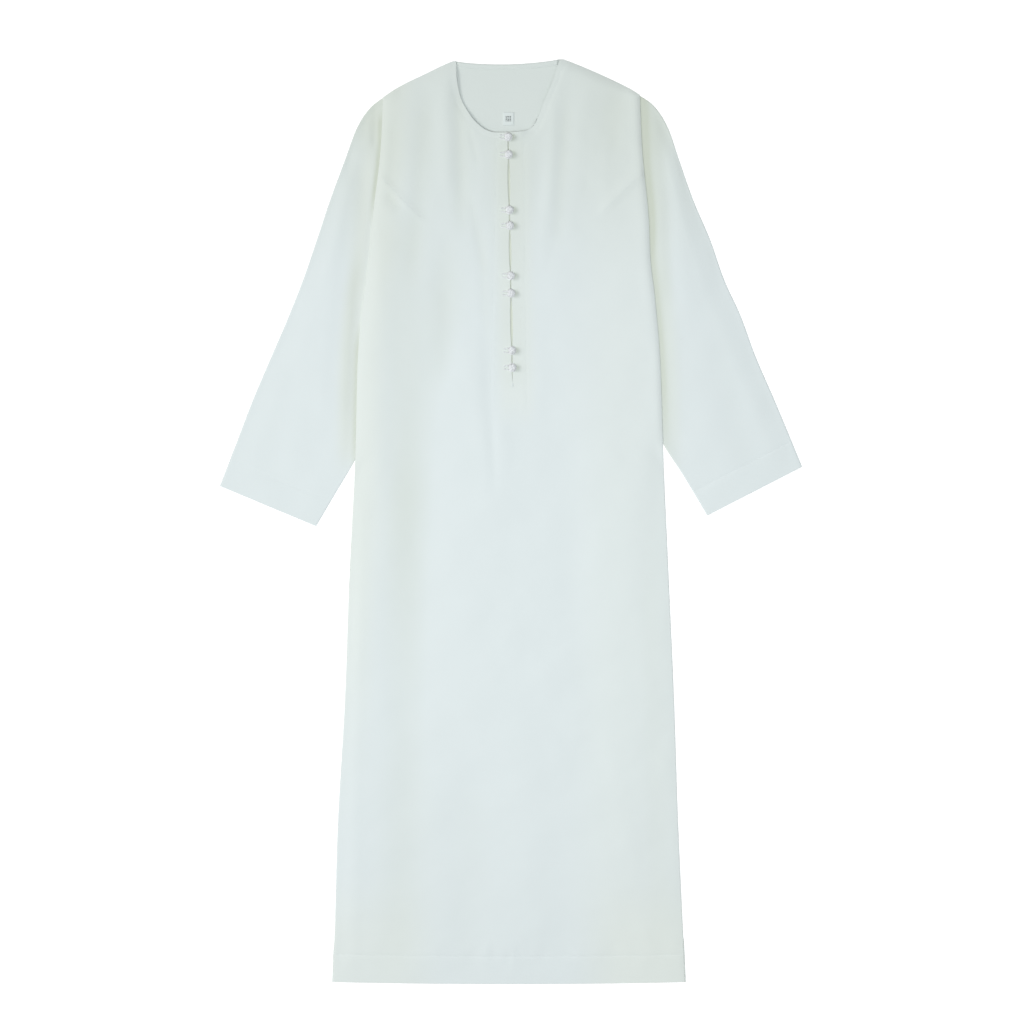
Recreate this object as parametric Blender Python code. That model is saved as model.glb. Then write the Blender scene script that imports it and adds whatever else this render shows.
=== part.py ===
"""A long, collarless thobe laid flat on its back, front up, with its sleeves turned down beside it.

Metres, +Z up. The neck points along +Y and +X is the wearer's left. The origin is in the middle of
the robe's footprint, on the surface that it lies on. Tables and sizes are in millimetres and are
scaled once, when a mesh is made. Every cloth piece is a wall of its own: the back lies on the
surface, each sleeve is a flat tube beside it whose underarm is tucked beneath the body, and the
front lies over all of them and rolls down at the side seams and shoulders.
"""

import functools
import math
from collections import namedtuple

import bmesh
import bpy
from mathutils import Vector

MM = 0.001

CLOTH = 1.0  # wall of every cloth piece
GAP = 0.3  # clearance between neighbouring pieces
SLEEVE_FLAT = 2 * CLOTH + GAP  # two layers of sleeve lying on each other
LIFT = SLEEVE_FLAT + GAP  # how far the body is raised where a sleeve lies beneath it
LIFT_MARGIN = 2.5  # the full lift reaches this far past the sleeve's edge
LIFT_RAMP = 16.0  # and fades out over this distance

LENGTH = 1402.0  # neck points to hem
HEM_BOW = 3.0  # the hem's middle hangs lower than its corners
FRONT_TOP = 5.8  # top of the front, above the surface
HEM_TOP = 3.4  # and at the hem, where front and back press together
HEM_SETTLE = 150.0  # it rises from one to the other over this length
ROLL = 0.9  # width of the roll at a side seam, as a share of its height
SEAM_INSET = CLOTH + 3 * GAP  # the back's edge from the front's outer edge, at the side
SHOULDER_SEAM_INSET = 1.5 * SEAM_INSET
NECK_SEAM_INSET = 0.6 * SEAM_INSET

SLIT_TOP = (-4.5, 588.0)
SLIT_END = (2.3, 209.0)
SLIT_WIDTH = 3.4
SLIT_NARROW = 0.45  # share of its width that it keeps near both ends
SLIT_TAPER = 0.06  # share of its length over which it closes at its lower end
PLACKET_HALF = 26.0  # the stitched, flat strip each side of the slit
PLACKET_BOTTOM = 172.0
UNDERLAP = dict(left=-14.0, right=19.0, bottom=180.0, top=580.0)

BUTTON_ROWS = (581.0, 554.5, 470.5, 447.0, 371.0, 344.5, 258.0, 232.0)
BUTTON_RADIUS = 6.0
BUTTON_HEIGHT = 9.5
LOOP_CORD = 1.8
LOOP_RADIUS = 5.9  # centre line of the cord round the button's foot
LOOP_LEG = 13.0  # reach of the loop's legs over the wearer's right panel
LOOP_SPLAY = 2.4  # half the legs' distance at their sewn end
LOOP_BEND = (-9.0, 2.9)  # where each leg begins to part from the other
LOOP_OPENING = math.radians(38)  # half the ring's gap, on the legs' side
LOOP_STEPS = 12

LABEL = dict(x=-4.0, y=609.0, width=17.0, height=20.0)
FACING_WIDTH = 7.5
FACING_INSET = 1.0  # from the back's upper edge
FACING_END = 8.0  # its ends stop this far from the neck points
FACING_STEPS = 8

EdgeRow = namedtuple("EdgeRow", "y right_side left_side")
BODY_EDGES = (
    EdgeRow(-701, -270, 264),
    EdgeRow(-620, -267, 260.5),
    EdgeRow(-453, -262, 253),
    EdgeRow(-271, -251.5, 247),
    EdgeRow(-89, -245, 239),
    EdgeRow(92, -236, 231),
    EdgeRow(244, -232, 225.5),
    EdgeRow(335, -224, 218),
    EdgeRow(395, -215, 211),
    EdgeRow(464, -209, 208),
    EdgeRow(556, -198, 199),
    EdgeRow(641, -194, 195),
)

# The top of the front, from the end of each shoulder to the neck point, then down the neckline.
RIGHT_SHOULDER = ((-194, 641), (-168, 658.5), (-129, 677.5), (-97, 693), (-83, 697.5))
LEFT_SHOULDER = ((195, 645), (173, 658.5), (133, 677.5), (95, 693.5), (74, 701))
RIGHT_NECK = (
    RIGHT_SHOULDER[-1], (-82, 668), (-76, 640), (-66, 621), (-56, 607), (-43, 595), (-28, 588.5), SLIT_TOP,
)
LEFT_NECK = (
    LEFT_SHOULDER[-1], (66, 676), (58, 655), (49, 634), (41, 612), (33, 597), (20, 590.5), SLIT_TOP,
)
BACK_NECK_LOW = 691.0  # y of the lowest place of the back neck

# Each sleeve's sections, from the cuff to the armhole: where its outer fold and its under edge lie.
SleeveRow = namedtuple("SleeveRow", "outer_x outer_y under_x under_y crown")
RIGHT_SLEEVE = (
    SleeveRow(-441, 53, -295, -8, 0.6),
    SleeveRow(-414, 123, -268, 38, 1.4),
    SleeveRow(-391, 183, -236, 92, 2.2),
    SleeveRow(-365, 244, -209, 145, 2.6),
    SleeveRow(-339, 304.5, -192, 195, 2.8),
    SleeveRow(-315, 365, -187, 240, 3.0),
    SleeveRow(-294, 426, -188, 285, 3.0),
    SleeveRow(-274, 486, -194, 322, 2.6),
    SleeveRow(-251.5, 547, -199, 340, 2.0),
    SleeveRow(-233, 596, -202.5, 354, 1.2),
    SleeveRow(-212, 627, -203.3, 366, 0.6),
    SleeveRow(-184, 647, -202, 378, 0.0),
)
LEFT_SLEEVE = (
    SleeveRow(441, 82, 297, 8, 0.6),
    SleeveRow(417, 140, 263, 65, 1.4),
    SleeveRow(396, 190, 231, 115, 2.2),
    SleeveRow(370, 250, 205, 165, 2.6),
    SleeveRow(348, 310, 191, 212, 2.8),
    SleeveRow(323, 365, 185, 255, 3.0),
    SleeveRow(301.5, 426, 186, 295, 3.0),
    SleeveRow(276, 486, 190.5, 325, 2.6),
    SleeveRow(254.5, 547, 195.5, 342, 2.0),
    SleeveRow(237, 597, 199, 354, 1.2),
    SleeveRow(215, 630, 200.3, 366, 0.6),
    SleeveRow(186, 649, 199, 378, 0.0),
)
CROWN_CLEAR = 16.0  # the sleeve stays flat this far out from the body's edge
CROWN_RISE = 40.0  # and reaches its full height over this distance
CROWN_EDGE = 14.0  # it is flat at its own two edges too

# The front's largest folds: a line, its half width, and its height (a trough has a negative one).
Fold = namedtuple("Fold", "x0 y0 x1 y1 half_width height")
FOLDS = (
    Fold(-110, 640, -108, 460, 13, 1.0),
    Fold(-88, 640, -50, 390, 12, -0.9),
    Fold(-55, 570, -38, 430, 11, 0.9),
    Fold(-168, 610, -172, 480, 16, -0.8),
    Fold(66, 600, 70, 500, 10, 0.9),
    Fold(80, 640, 82, 480, 12, -0.9),
    Fold(-34, 330, -24, 80, 10, -0.6),
    Fold(-192, 150, -186, -640, 24, -1.3),
    Fold(-225, 60, -235, -640, 16, 0.5),
    Fold(-40, 250, -30, -330, 105, 2.4),
    Fold(150, 120, 160, -560, 50, 0.8),
    Fold(205, 600, 214, 330, 20, 1.9),
)
SEAM_SETTLE, HEM_FOLD_SETTLE = 20.0, 60.0  # a fold grows over these distances from a seam and the hem
PLACKET_SIDE_FADE, PLACKET_END_FADE = 30.0, 90.0  # and dies away over these beside and below the placket
PLACKET_END_START = 60.0  # how far below the placket's end that begins

# How finely each piece is divided.
SIDE_STEPS = 40  # the side seam, for measuring the distance to it
EDGE_STEPS = (0.0, 0.35, 1.3, 2.6, 5.2, 12.0)  # the front's first columns, from its side
SHOULDER_COLUMNS = (0.9, 1.45, 2.0, 2.5, 3.0, 3.6, 4.0)  # the next, as places in the shoulder's table
LOWER_ROWS = (-680, -657, -600, -520, -430, -330, -230, -130, -30, 50, 75, 92, 115, 145, 180)
UPPER_ROW_SHARES = (0.06, 0.17, 0.29, 0.4, 0.52, 0.64, 0.76, 0.86, 0.94)  # slit's end to the top
BACK_ROWS = (
    -600, -430, -330, -230, -130, -30, 30, 66, 80, 92, 104, 118, 132, 145, 165, 195, 212, 240, 255,
    285, 295, 326, 346, 356, 366, 378, 386, 394,
)
BACK_TOP_START = 402.0  # the rows above this height bend more and more like the back's upper edge
BACK_TOP_SHARES = (0, 0.2, 0.45, 0.7, 0.86, 1.0)
BACK_SHARES = (0.3, 0.45, 0.6, 0.8)  # the back's columns, from a sleeve's ramp to the middle
BACK_HEM_INSET = 2.0
TUCK_MARGIN = LIFT_MARGIN + 0.6  # the columns beside a tucked sleeve enclose its ramp
SLEEVE_EDGE = ((0.0, 0.5), (1.0, 1.0), (6.0, 1.0), (16.0, 1.0))  # from a fold: distance, share of the height
SLEEVE_SHARES = (0.12, 0.25, 0.38, 0.5, 0.62, 0.75, 0.88)
SLEEVE_BOTTOM_SHARES = (0.98, 0.66, 0.33, 0.02)
SLEEVE_HOLLOW = 1.6  # the tube's inside begins this far from its folds
SLEEVE_FOLD_WALL = 1.3 * CLOTH  # and at mid height this far

COLOURS = {
    "cloth": ((0.76, 0.83, 0.82, 1), 0.85),
    "cord": ((0.74, 0.76, 0.81, 1), 0.7),
    "label": ((0.84, 0.86, 0.86, 1), 0.6),
}


def smooth(t):
    t = min(max(t, 0.0), 1.0)
    return t * t * (3 - 2 * t)


def between(points, t):
    """The point at t along a curve through the points, where t counts points (Catmull-Rom)."""
    last = len(points) - 1
    i = min(int(t), last - 1)
    s = t - i
    a, b, c, d = (Vector(points[min(max(k, 0), last)]) for k in (i - 1, i, i + 1, i + 2))
    square = 2 * a - 5 * b + 4 * c - d
    cube = 3 * b - a - 3 * c + d
    return 0.5 * (2 * b + (c - a) * s + square * s**2 + cube * s**3)


def body_edge(side, y):
    """X of the body's edge at this height; side is -1 for the wearer's right and 1 for the left."""
    rows = [Vector((row.y, row.left_side if side > 0 else row.right_side)) for row in BODY_EDGES]
    for i, (low, high) in enumerate(zip(rows, rows[1:])):
        if y <= high.x or i == len(rows) - 2:
            t = i + min(max((y - low.x) / (high.x - low.x), 0), 1)
            return between(rows, t).y
    return rows[-1].y


def hem_y(x):
    return -LENGTH / 2 + HEM_BOW * (x / BODY_EDGES[0].left_side) ** 2


def slit_x(y):
    t = (y - SLIT_END[1]) / (SLIT_TOP[1] - SLIT_END[1])
    return SLIT_END[0] + (SLIT_TOP[0] - SLIT_END[0]) * min(max(t, 0), 1)


def slit_half_width(y):
    """Half the slit's opening: nothing at its end, widest in the middle and narrower towards the neck."""
    t = (y - SLIT_END[1]) / (SLIT_TOP[1] - SLIT_END[1])
    if t <= 0:
        return 0.0
    bulge = SLIT_NARROW + (1 - SLIT_NARROW) * math.sin(math.pi * min(t, 1)) ** 2
    return SLIT_WIDTH / 2 * bulge * smooth(t / SLIT_TAPER)


def sleeve_rows(side):
    return LEFT_SLEEVE if side > 0 else RIGHT_SLEEVE


@functools.cache
def sleeve_outline(side):
    rows = sleeve_rows(side)
    outer = [Vector((row.outer_x, row.outer_y)) for row in rows]
    under = [Vector((row.under_x, row.under_y)) for row in rows]
    return outer + under[::-1]


def segment_distance(point, a, b):
    along = b - a
    t = min(max((point - a).dot(along) / along.length_squared, 0), 1)
    return (point - a - t * along).length


def inside(point, outline):
    """Whether the point is inside a closed outline, by counting the edges to its right."""
    crossed = False
    for a, b in zip(outline, outline[1:] + outline[:1]):
        if (a.y > point.y) != (b.y > point.y):
            if point.x < a.x + (b.x - a.x) * (point.y - a.y) / (b.y - a.y):
                crossed = not crossed
    return crossed


def sleeve_distance(side, x, y):
    point = Vector((x, y))
    outline = sleeve_outline(side)
    if inside(point, outline):
        return 0.0
    return min(segment_distance(point, a, b) for a, b in zip(outline, outline[1:] + outline[:1]))


def lift(x, y):
    """How far what lies on a sleeve is raised here."""
    distance = sleeve_distance(-1 if x < 0 else 1, x, y)
    return LIFT * smooth(1 - (distance - LIFT_MARGIN) / LIFT_RAMP)


def fold_height(x, y):
    """Height that the folds add here. The placket is stitched flat, so they stay clear of it."""
    total = 0.0
    for fold in FOLDS:
        start, end = Vector((fold.x0, fold.y0)), Vector((fold.x1, fold.y1))
        along = end - start
        t = (Vector((x, y)) - start).dot(along) / along.length_squared
        aside = (Vector((x, y)) - start - t * along).length / fold.half_width
        fade = smooth((t + 0.15) / 0.3) * smooth((1.15 - t) / 0.3)
        total += fold.height * math.exp(-aside * aside) * fade
    beside_placket = smooth((abs(x - slit_x(y)) - PLACKET_HALF) / PLACKET_SIDE_FADE)
    above_its_end = smooth((y - PLACKET_BOTTOM + PLACKET_END_START) / PLACKET_END_FADE)
    return total * (1 - above_its_end * (1 - beside_placket))


@functools.cache
def rolled_edge(side):
    """The edge where front and back are sewn together, from the hem up the side and along the shoulder."""
    corner = hem_y(body_edge(side, -LENGTH / 2))
    shoulder = LEFT_SHOULDER if side > 0 else RIGHT_SHOULDER
    top = shoulder[0][1]
    side_ys = [corner + (top - corner) * i / SIDE_STEPS for i in range(SIDE_STEPS)]
    line = [between(shoulder, i / 3) for i in range(3 * len(shoulder) - 2)]
    return [Vector((body_edge(side, y), y)) for y in side_ys] + line


def from_rolled_edge(side, x, y):
    """Distance to the rolled edge, and the direction from it towards the middle of the cloth."""
    point = Vector((x, y))
    edge = rolled_edge(side)
    a, b = min(zip(edge, edge[1:]), key=lambda ends: segment_distance(point, *ends))
    along = (b - a).normalized()
    inward = Vector((along.y, -along.x)) if side < 0 else Vector((-along.y, along.x))
    return segment_distance(point, a, b), inward


def front_level(y):
    """Height of the front's outer face away from its edges and folds."""
    return HEM_TOP + (FRONT_TOP - HEM_TOP) * smooth((y + LENGTH / 2) / HEM_SETTLE)


def front_points(side, x, y):
    """The outer and inner point of the front over (x, y), rolled down to the edge."""
    distance, inward = from_rolled_edge(side, x, y)
    floor = lift(x, y)
    height = front_level(y) - floor
    across = min(distance / (ROLL * height), 1.0)
    cosine = 1 - across
    sine = math.sqrt(max(1 - cosine * cosine, 0))
    settle = smooth(distance / SEAM_SETTLE)
    z = floor + height * sine + fold_height(x, y) * settle * smooth((y - hem_y(x)) / HEM_FOLD_SETTLE)
    outer = Vector((x, y, z))
    step = Vector((inward.x * cosine, inward.y * cosine, -sine)).normalized() * CLOTH
    return outer, outer + step


def cloth_wall(sheets, ring=False):
    """A closed wall through sheets of (outer, inner) points, given as rows; equal points become one.

    The outer points are made as one skin, which is then extruded to the inner ones.
    """
    bm = bmesh.new()
    target = bm.verts.layers.float_vector.new("inner")
    made = {}

    def vertex(outer, inner):
        key = tuple(round(c, 3) for c in outer)
        if key not in made:
            made[key] = bm.verts.new(outer * MM)
            made[key][target] = inner * MM
        return made[key]

    for rows in sheets:
        grid = [[vertex(*points) for points in row] for row in rows]
        for low, high in zip(grid, grid[1:]):
            count = len(low) if ring else len(low) - 1
            for i in range(count):
                k = (i + 1) % len(low)
                bm.faces.new((low[i], low[k], high[k], high[i]))
    extruded = bmesh.ops.extrude_face_region(bm, geom=bm.faces[:])["geom"]
    for vert in extruded:
        if isinstance(vert, bmesh.types.BMVert):
            vert.co = vert[target]
    bm.verts.layers.float_vector.remove(target)
    return bm


def finish(name, bm, material, smooth_shading=True):
    bmesh.ops.recalc_face_normals(bm, faces=bm.faces)
    if bm.calc_volume(signed=True) < 0:
        bmesh.ops.reverse_faces(bm, faces=bm.faces)
    mesh = bpy.data.meshes.new(name)
    bm.to_mesh(mesh)
    bm.free()
    if smooth_shading:
        mesh.shade_smooth()
        mesh.set_sharp_from_angle(angle=math.radians(40))
    piece = bpy.data.objects.new(name, mesh)
    piece.data.materials.append(material)
    bpy.context.scene.collection.objects.link(piece)
    return piece


def make_materials():
    made = {}
    for name, (colour, roughness) in COLOURS.items():
        material = bpy.data.materials.new(name)
        material.use_nodes = True
        shader = material.node_tree.nodes["Principled BSDF"]
        shader.inputs["Base Color"].default_value = colour
        shader.inputs["Roughness"].default_value = roughness
        shader.inputs["Metallic"].default_value = 0.0
        made[name] = material
    return made


def front_columns(side):
    """Points along the top of one half of the front, from the shoulder's end to the slit."""
    shoulder = LEFT_SHOULDER if side > 0 else RIGHT_SHOULDER
    neck = LEFT_NECK if side > 0 else RIGHT_NECK
    start = Vector(shoulder[0])
    along = (Vector(shoulder[1]) - start).normalized()
    steps = [start + along * (step / abs(along.x)) for step in EDGE_STEPS]
    steps += [between(shoulder, t) for t in SHOULDER_COLUMNS]
    steps += [between(neck, t) for t in range(1, len(neck))]
    return steps


def front_row(side, columns, ys):
    """(outer, inner) points across one half of the front, from its side to the slit."""
    side_top, slit_top = columns[0].x, columns[-1].x
    row = []
    for i, (top, y) in enumerate(zip(columns, ys)):
        edge = body_edge(side, y) if y < BODY_EDGES[-1].y - 1 else side_top
        middle = slit_x(y) + side * slit_half_width(y)
        if i < len(EDGE_STEPS):
            x = edge - side * EDGE_STEPS[i]
        else:
            share = (top.x - side_top) / (slit_top - side_top)
            x = edge + (middle - edge) * share
        row.append(front_points(side, x, y))
    return row


def front_half(side):
    """Rows of points over one half of the front, from the hem to the shoulder and neckline."""
    columns = front_columns(side)
    base = SLIT_END[1]
    heights = [[hem_y(top.x) for top in columns]]
    heights += [[y] * len(columns) for y in (*LOWER_ROWS, base)]
    heights += [[base + (top.y - base) * share for top in columns] for share in UPPER_ROW_SHARES]
    heights += [[top.y - step for top in columns] for step in reversed(EDGE_STEPS)]
    return [front_row(side, columns, ys) for ys in heights]


def upright(x, y, bottom):
    """A point on the underside of a flat piece, and the one a wall's thickness above it."""
    return Vector((x, y, bottom)), Vector((x, y, bottom + CLOTH))


def armhole_x(side, y):
    """X of the line along which the sleeve's mouth meets the back."""
    last = sleeve_rows(side)[-1]
    slope = (last.outer_x - last.under_x) / (last.outer_y - last.under_y)
    return last.under_x + slope * (y - last.under_y)


def tucked_edge(side, y):
    """X of the sleeve's under edge where it lies beneath the body, or of the body's own edge elsewhere."""
    rows = sleeve_rows(side)
    if y >= rows[-1].under_y:
        return armhole_x(side, y)
    for low, high in zip(rows[2:], rows[3:]):
        if low.under_y <= y <= high.under_y:
            t = (y - low.under_y) / (high.under_y - low.under_y)
            return low.under_x + (high.under_x - low.under_x) * t
    return body_edge(side, y)


def back_edge(side, y):
    """X of the back's edge: inside the front's roll at the side seam, and along the armhole above it."""
    underarm = sleeve_rows(side)[-1].under_y
    seam = body_edge(side, y) - side * SEAM_INSET
    armhole = armhole_x(side, y) - side * GAP
    return seam + (armhole - seam) * smooth((y - underarm + LIFT_RAMP) / LIFT_RAMP)


def back_level(x, y):
    """Height of the back's underside: raised where a sleeve lies beneath, below the armhole."""
    side = -1 if x < 0 else 1
    underarm = sleeve_rows(side)[-1].under_y
    return lift(x, y) * smooth((underarm + LIFT_RAMP - y) / LIFT_RAMP)


def back_top_y(x):
    """The back's upper edge: a little inside the shoulder lines, and a shallow scoop at the neck."""
    right, left = Vector(RIGHT_SHOULDER[-1]), Vector(LEFT_SHOULDER[-1])
    if right.x <= x <= left.x:
        t = (x - right.x) / (left.x - right.x)
        dip = (right.y + left.y) / 2 - BACK_NECK_LOW
        straight = right.y + (left.y - right.y) * t
        return straight - dip * math.sin(math.pi * t) ** 0.8 - NECK_SEAM_INSET
    shoulder = RIGHT_SHOULDER if x < 0 else LEFT_SHOULDER
    for (x0, y0), (x1, y1) in zip(shoulder, shoulder[1:]):
        if min(x0, x1) <= x <= max(x0, x1):
            return y0 + (y1 - y0) * (x - x0) / (x1 - x0) - SHOULDER_SEAM_INSET
    return shoulder[0][1] - SHOULDER_SEAM_INSET


def back_row(y_of):
    """One row of points across the back, from the right edge to the left; y_of gives its y at each x."""
    row = []
    for side in (-1, 1):
        edge_y = y_of(back_edge(side, 0))
        edge_y = y_of(back_edge(side, edge_y))
        edge = back_edge(side, edge_y)
        tucked = tucked_edge(side, edge_y) - side * TUCK_MARGIN
        tucked = min(tucked, edge - 2) if side > 0 else max(tucked, edge + 2)
        ramp_end = tucked - side * (LIFT_RAMP + 2)
        xs = [edge, (edge + tucked) / 2, tucked, (tucked + ramp_end) / 2, ramp_end]
        xs += [ramp_end * (1 - share) for share in BACK_SHARES]
        half = [(x, y_of(x)) for x in xs]
        row += half if side < 0 else [(0.0, y_of(0.0))] + half[::-1]
    return [upright(x, y, back_level(x, y)) for x, y in row]


def toward_top(share, x):
    """Y at x on a row that is level at share 0 and follows the back's upper edge at share 1."""
    return BACK_TOP_START + (back_top_y(x) - BACK_TOP_START) * share


def make_back(material):
    rows = [back_row(lambda x: hem_y(x) + BACK_HEM_INSET)]
    rows += [back_row(lambda x, y=y: y) for y in BACK_ROWS]
    rows += [back_row(functools.partial(toward_top, share)) for share in BACK_TOP_SHARES]
    return finish("back_panel", cloth_wall([rows]), material)


def make_front(material):
    return finish("front_panel", cloth_wall([front_half(-1), front_half(1)]), material)


def sleeve_crown(side, row, x, y, offset, width):
    """How much the tube is puffed up here: not beside the body, nor at its own two edges."""
    clear = side * (x - body_edge(side, y)) - CROWN_CLEAR
    edges = smooth(offset / CROWN_EDGE) * smooth((width - offset) / CROWN_EDGE)
    return row.crown * edges * smooth(clear / CROWN_RISE)


def kept_inside(offset, margin, width):
    return min(max(offset, margin), width - margin)


def sleeve_section(side, row):
    """One ring round the flat tube: over the top from its outer fold to its under edge, and back below."""
    outer_fold, under_edge = Vector((row.outer_x, row.outer_y)), Vector((row.under_x, row.under_y))
    across = under_edge - outer_fold
    width = across.length
    across.normalize()
    reach = SLEEVE_EDGE[-1][0]
    top = list(SLEEVE_EDGE)
    top += [(reach + (width - 2 * reach) * share, 1.0) for share in SLEEVE_SHARES]
    top += [(width - offset, share) for offset, share in reversed(SLEEVE_EDGE)]
    ring = []
    for offset, share in top:
        place = outer_fold + across * offset
        if share == 1.0:
            z = SLEEVE_FLAT + sleeve_crown(side, row, place.x, place.y, offset, width)
            within = outer_fold + across * kept_inside(offset, SLEEVE_HOLLOW, width)
            inner_z = z - CLOTH
        else:
            z = inner_z = SLEEVE_FLAT * share
            within = outer_fold + across * kept_inside(offset, SLEEVE_FOLD_WALL, width)
        ring.append((Vector((place.x, place.y, z)), Vector((within.x, within.y, inner_z))))
    for share in SLEEVE_BOTTOM_SHARES:
        offset = kept_inside(width * share, CLOTH, width)
        place = outer_fold + across * offset
        within = outer_fold + across * kept_inside(offset, SLEEVE_HOLLOW, width)
        ring.append((Vector((place.x, place.y, 0)), Vector((within.x, within.y, CLOTH))))
    return ring


def make_sleeve(name, side, material):
    rows = [sleeve_section(side, row) for row in sleeve_rows(side)]
    return finish(name, cloth_wall([rows], ring=True), material)


def make_plate(name, centre, size, material):
    bm = bmesh.new()
    bmesh.ops.create_cube(bm, size=1)
    bmesh.ops.scale(bm, vec=Vector(size) * MM, verts=bm.verts)
    bmesh.ops.translate(bm, vec=Vector(centre) * MM, verts=bm.verts)
    return finish(name, bm, material, smooth_shading=False)


def make_underlap(material):
    """The strip behind the slit, just under the front."""
    left, right, bottom, top = (UNDERLAP[edge] for edge in ("left", "right", "bottom", "top"))
    width, height = right - left, top - bottom
    z = FRONT_TOP - CLOTH - 1.5 * GAP - CLOTH / 2
    centre = ((left + right) / 2, (bottom + top) / 2, z)
    return make_plate("placket_underlap", centre, (width, height, CLOTH), material)


def make_facing(material):
    """The narrow band sewn round the inside of the back neck."""
    start, end = RIGHT_SHOULDER[-1][0] + FACING_END, LEFT_SHOULDER[-1][0] - FACING_END
    xs = [start + (end - start) * i / FACING_STEPS for i in range(FACING_STEPS + 1)]
    edges = (FACING_INSET, FACING_INSET + FACING_WIDTH)
    rows = [[upright(x, back_top_y(x) - down, CLOTH + GAP) for x in xs] for down in edges]
    return finish("neck_facing", cloth_wall([rows]), material)


def make_label(material):
    centre = (LABEL["x"], LABEL["y"], 1.5 * CLOTH + GAP)
    return make_plate("neck_label", centre, (LABEL["width"], LABEL["height"], CLOTH), material)


def make_button(number, y, material):
    bm = bmesh.new()
    bmesh.ops.create_uvsphere(bm, u_segments=16, v_segments=8, radius=BUTTON_RADIUS * MM)
    bmesh.ops.scale(bm, vec=(1, 1, BUTTON_HEIGHT / (2 * BUTTON_RADIUS)), verts=bm.verts)
    centre = Vector((slit_x(y), y, FRONT_TOP + GAP + BUTTON_HEIGHT / 2))
    button = finish(f"button_{number}", bm, material)
    button.location = centre * MM
    return button


def make_loop(number, y, material):
    """The cord round the button's foot, with both legs sewn to the wearer's right panel."""
    z = FRONT_TOP + GAP + LOOP_CORD / 2
    step = 2 * (math.pi - LOOP_OPENING) / LOOP_STEPS
    turn = [math.pi - LOOP_OPENING - i * step for i in range(LOOP_STEPS + 1)]
    ring = [(LOOP_RADIUS * math.cos(a), LOOP_RADIUS * math.sin(a)) for a in turn]
    leg = [(-LOOP_LEG, LOOP_SPLAY), LOOP_BEND]
    points = leg + ring + [(x, -y_off) for x, y_off in reversed(leg)]
    curve = bpy.data.curves.new(f"loop_{number}", "CURVE")
    curve.dimensions = "3D"
    curve.bevel_depth = LOOP_CORD / 2 * MM
    curve.bevel_resolution = 1
    curve.use_fill_caps = True
    spline = curve.splines.new("POLY")
    spline.points.add(len(points) - 1)
    for point, (x, y_off) in zip(spline.points, points):
        point.co = (x * MM, y_off * MM, 0, 1)
    curve.materials.append(material)
    loop = bpy.data.objects.new(f"loop_{number}", curve)
    loop.location = Vector((slit_x(y), y, z)) * MM
    bpy.context.scene.collection.objects.link(loop)
    return loop


def main():
    for old in list(bpy.data.objects):
        bpy.data.objects.remove(old, do_unlink=True)
    materials = make_materials()
    make_back(materials["cloth"])
    make_sleeve("sleeve_right", -1, materials["cloth"])
    make_sleeve("sleeve_left", 1, materials["cloth"])
    make_facing(materials["cloth"])
    make_label(materials["label"])
    make_underlap(materials["cloth"])
    make_front(materials["cloth"])
    for number, y in enumerate(BUTTON_ROWS, start=1):
        make_button(number, y, materials["cord"])
        make_loop(number, y, materials["cord"])


main()
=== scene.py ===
# %% [markdown]
# # A thobe, laid out flat
# This robe is one long front and one long back, sewn at the shoulders and sides, with a wide tube
# for each sleeve. It could be draped by simulation, but somebody smoothed this one out by hand, and
# its few folds are easier to place one by one. The solids in the frame already have its true shape,
# so each cloth piece here is a thin sheet laid over its solid, with the folds, hems and stitching
# that the solids leave out.

# %% Load the frame
import functools
import math
from collections import namedtuple

import bmesh
import bpy
import numpy as np
from mathutils import Matrix, Vector


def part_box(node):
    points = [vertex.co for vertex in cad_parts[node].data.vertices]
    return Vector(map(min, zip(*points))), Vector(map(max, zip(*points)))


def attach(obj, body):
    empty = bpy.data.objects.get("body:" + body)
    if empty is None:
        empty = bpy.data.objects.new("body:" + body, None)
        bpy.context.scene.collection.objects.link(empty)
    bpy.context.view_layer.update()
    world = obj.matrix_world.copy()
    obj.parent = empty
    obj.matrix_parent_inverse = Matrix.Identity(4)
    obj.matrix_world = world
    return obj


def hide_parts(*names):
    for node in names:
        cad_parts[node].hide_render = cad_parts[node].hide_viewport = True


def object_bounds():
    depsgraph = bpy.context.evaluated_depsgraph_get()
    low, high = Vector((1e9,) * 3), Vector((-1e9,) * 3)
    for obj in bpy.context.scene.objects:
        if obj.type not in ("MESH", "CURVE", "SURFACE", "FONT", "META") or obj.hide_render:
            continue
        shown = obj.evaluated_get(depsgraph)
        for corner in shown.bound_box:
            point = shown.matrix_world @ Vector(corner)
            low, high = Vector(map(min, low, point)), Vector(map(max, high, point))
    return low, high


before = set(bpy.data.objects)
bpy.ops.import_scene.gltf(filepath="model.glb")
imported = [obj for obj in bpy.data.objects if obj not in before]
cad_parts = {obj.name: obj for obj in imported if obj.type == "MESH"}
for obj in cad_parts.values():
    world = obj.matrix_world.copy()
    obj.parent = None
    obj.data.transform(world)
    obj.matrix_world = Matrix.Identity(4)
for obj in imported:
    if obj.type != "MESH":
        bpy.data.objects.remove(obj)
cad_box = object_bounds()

MM = 0.001
print("solids:", len(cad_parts), "box:", [round(side, 4) for corner in cad_box for side in corner])

# %% [markdown]
# ## Light first
# White cloth on white shows its shape only by small changes of shade. A sun or a small lamp would
# draw every fold too hard, so one large soft lamp far off on the left gives them a bright and a dark
# side, a weaker one overhead makes the robe's middle the brightest, and a bright sky fills the
# shadows. The table glows, as a light table does, so that the robe's outline is clean.

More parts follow.
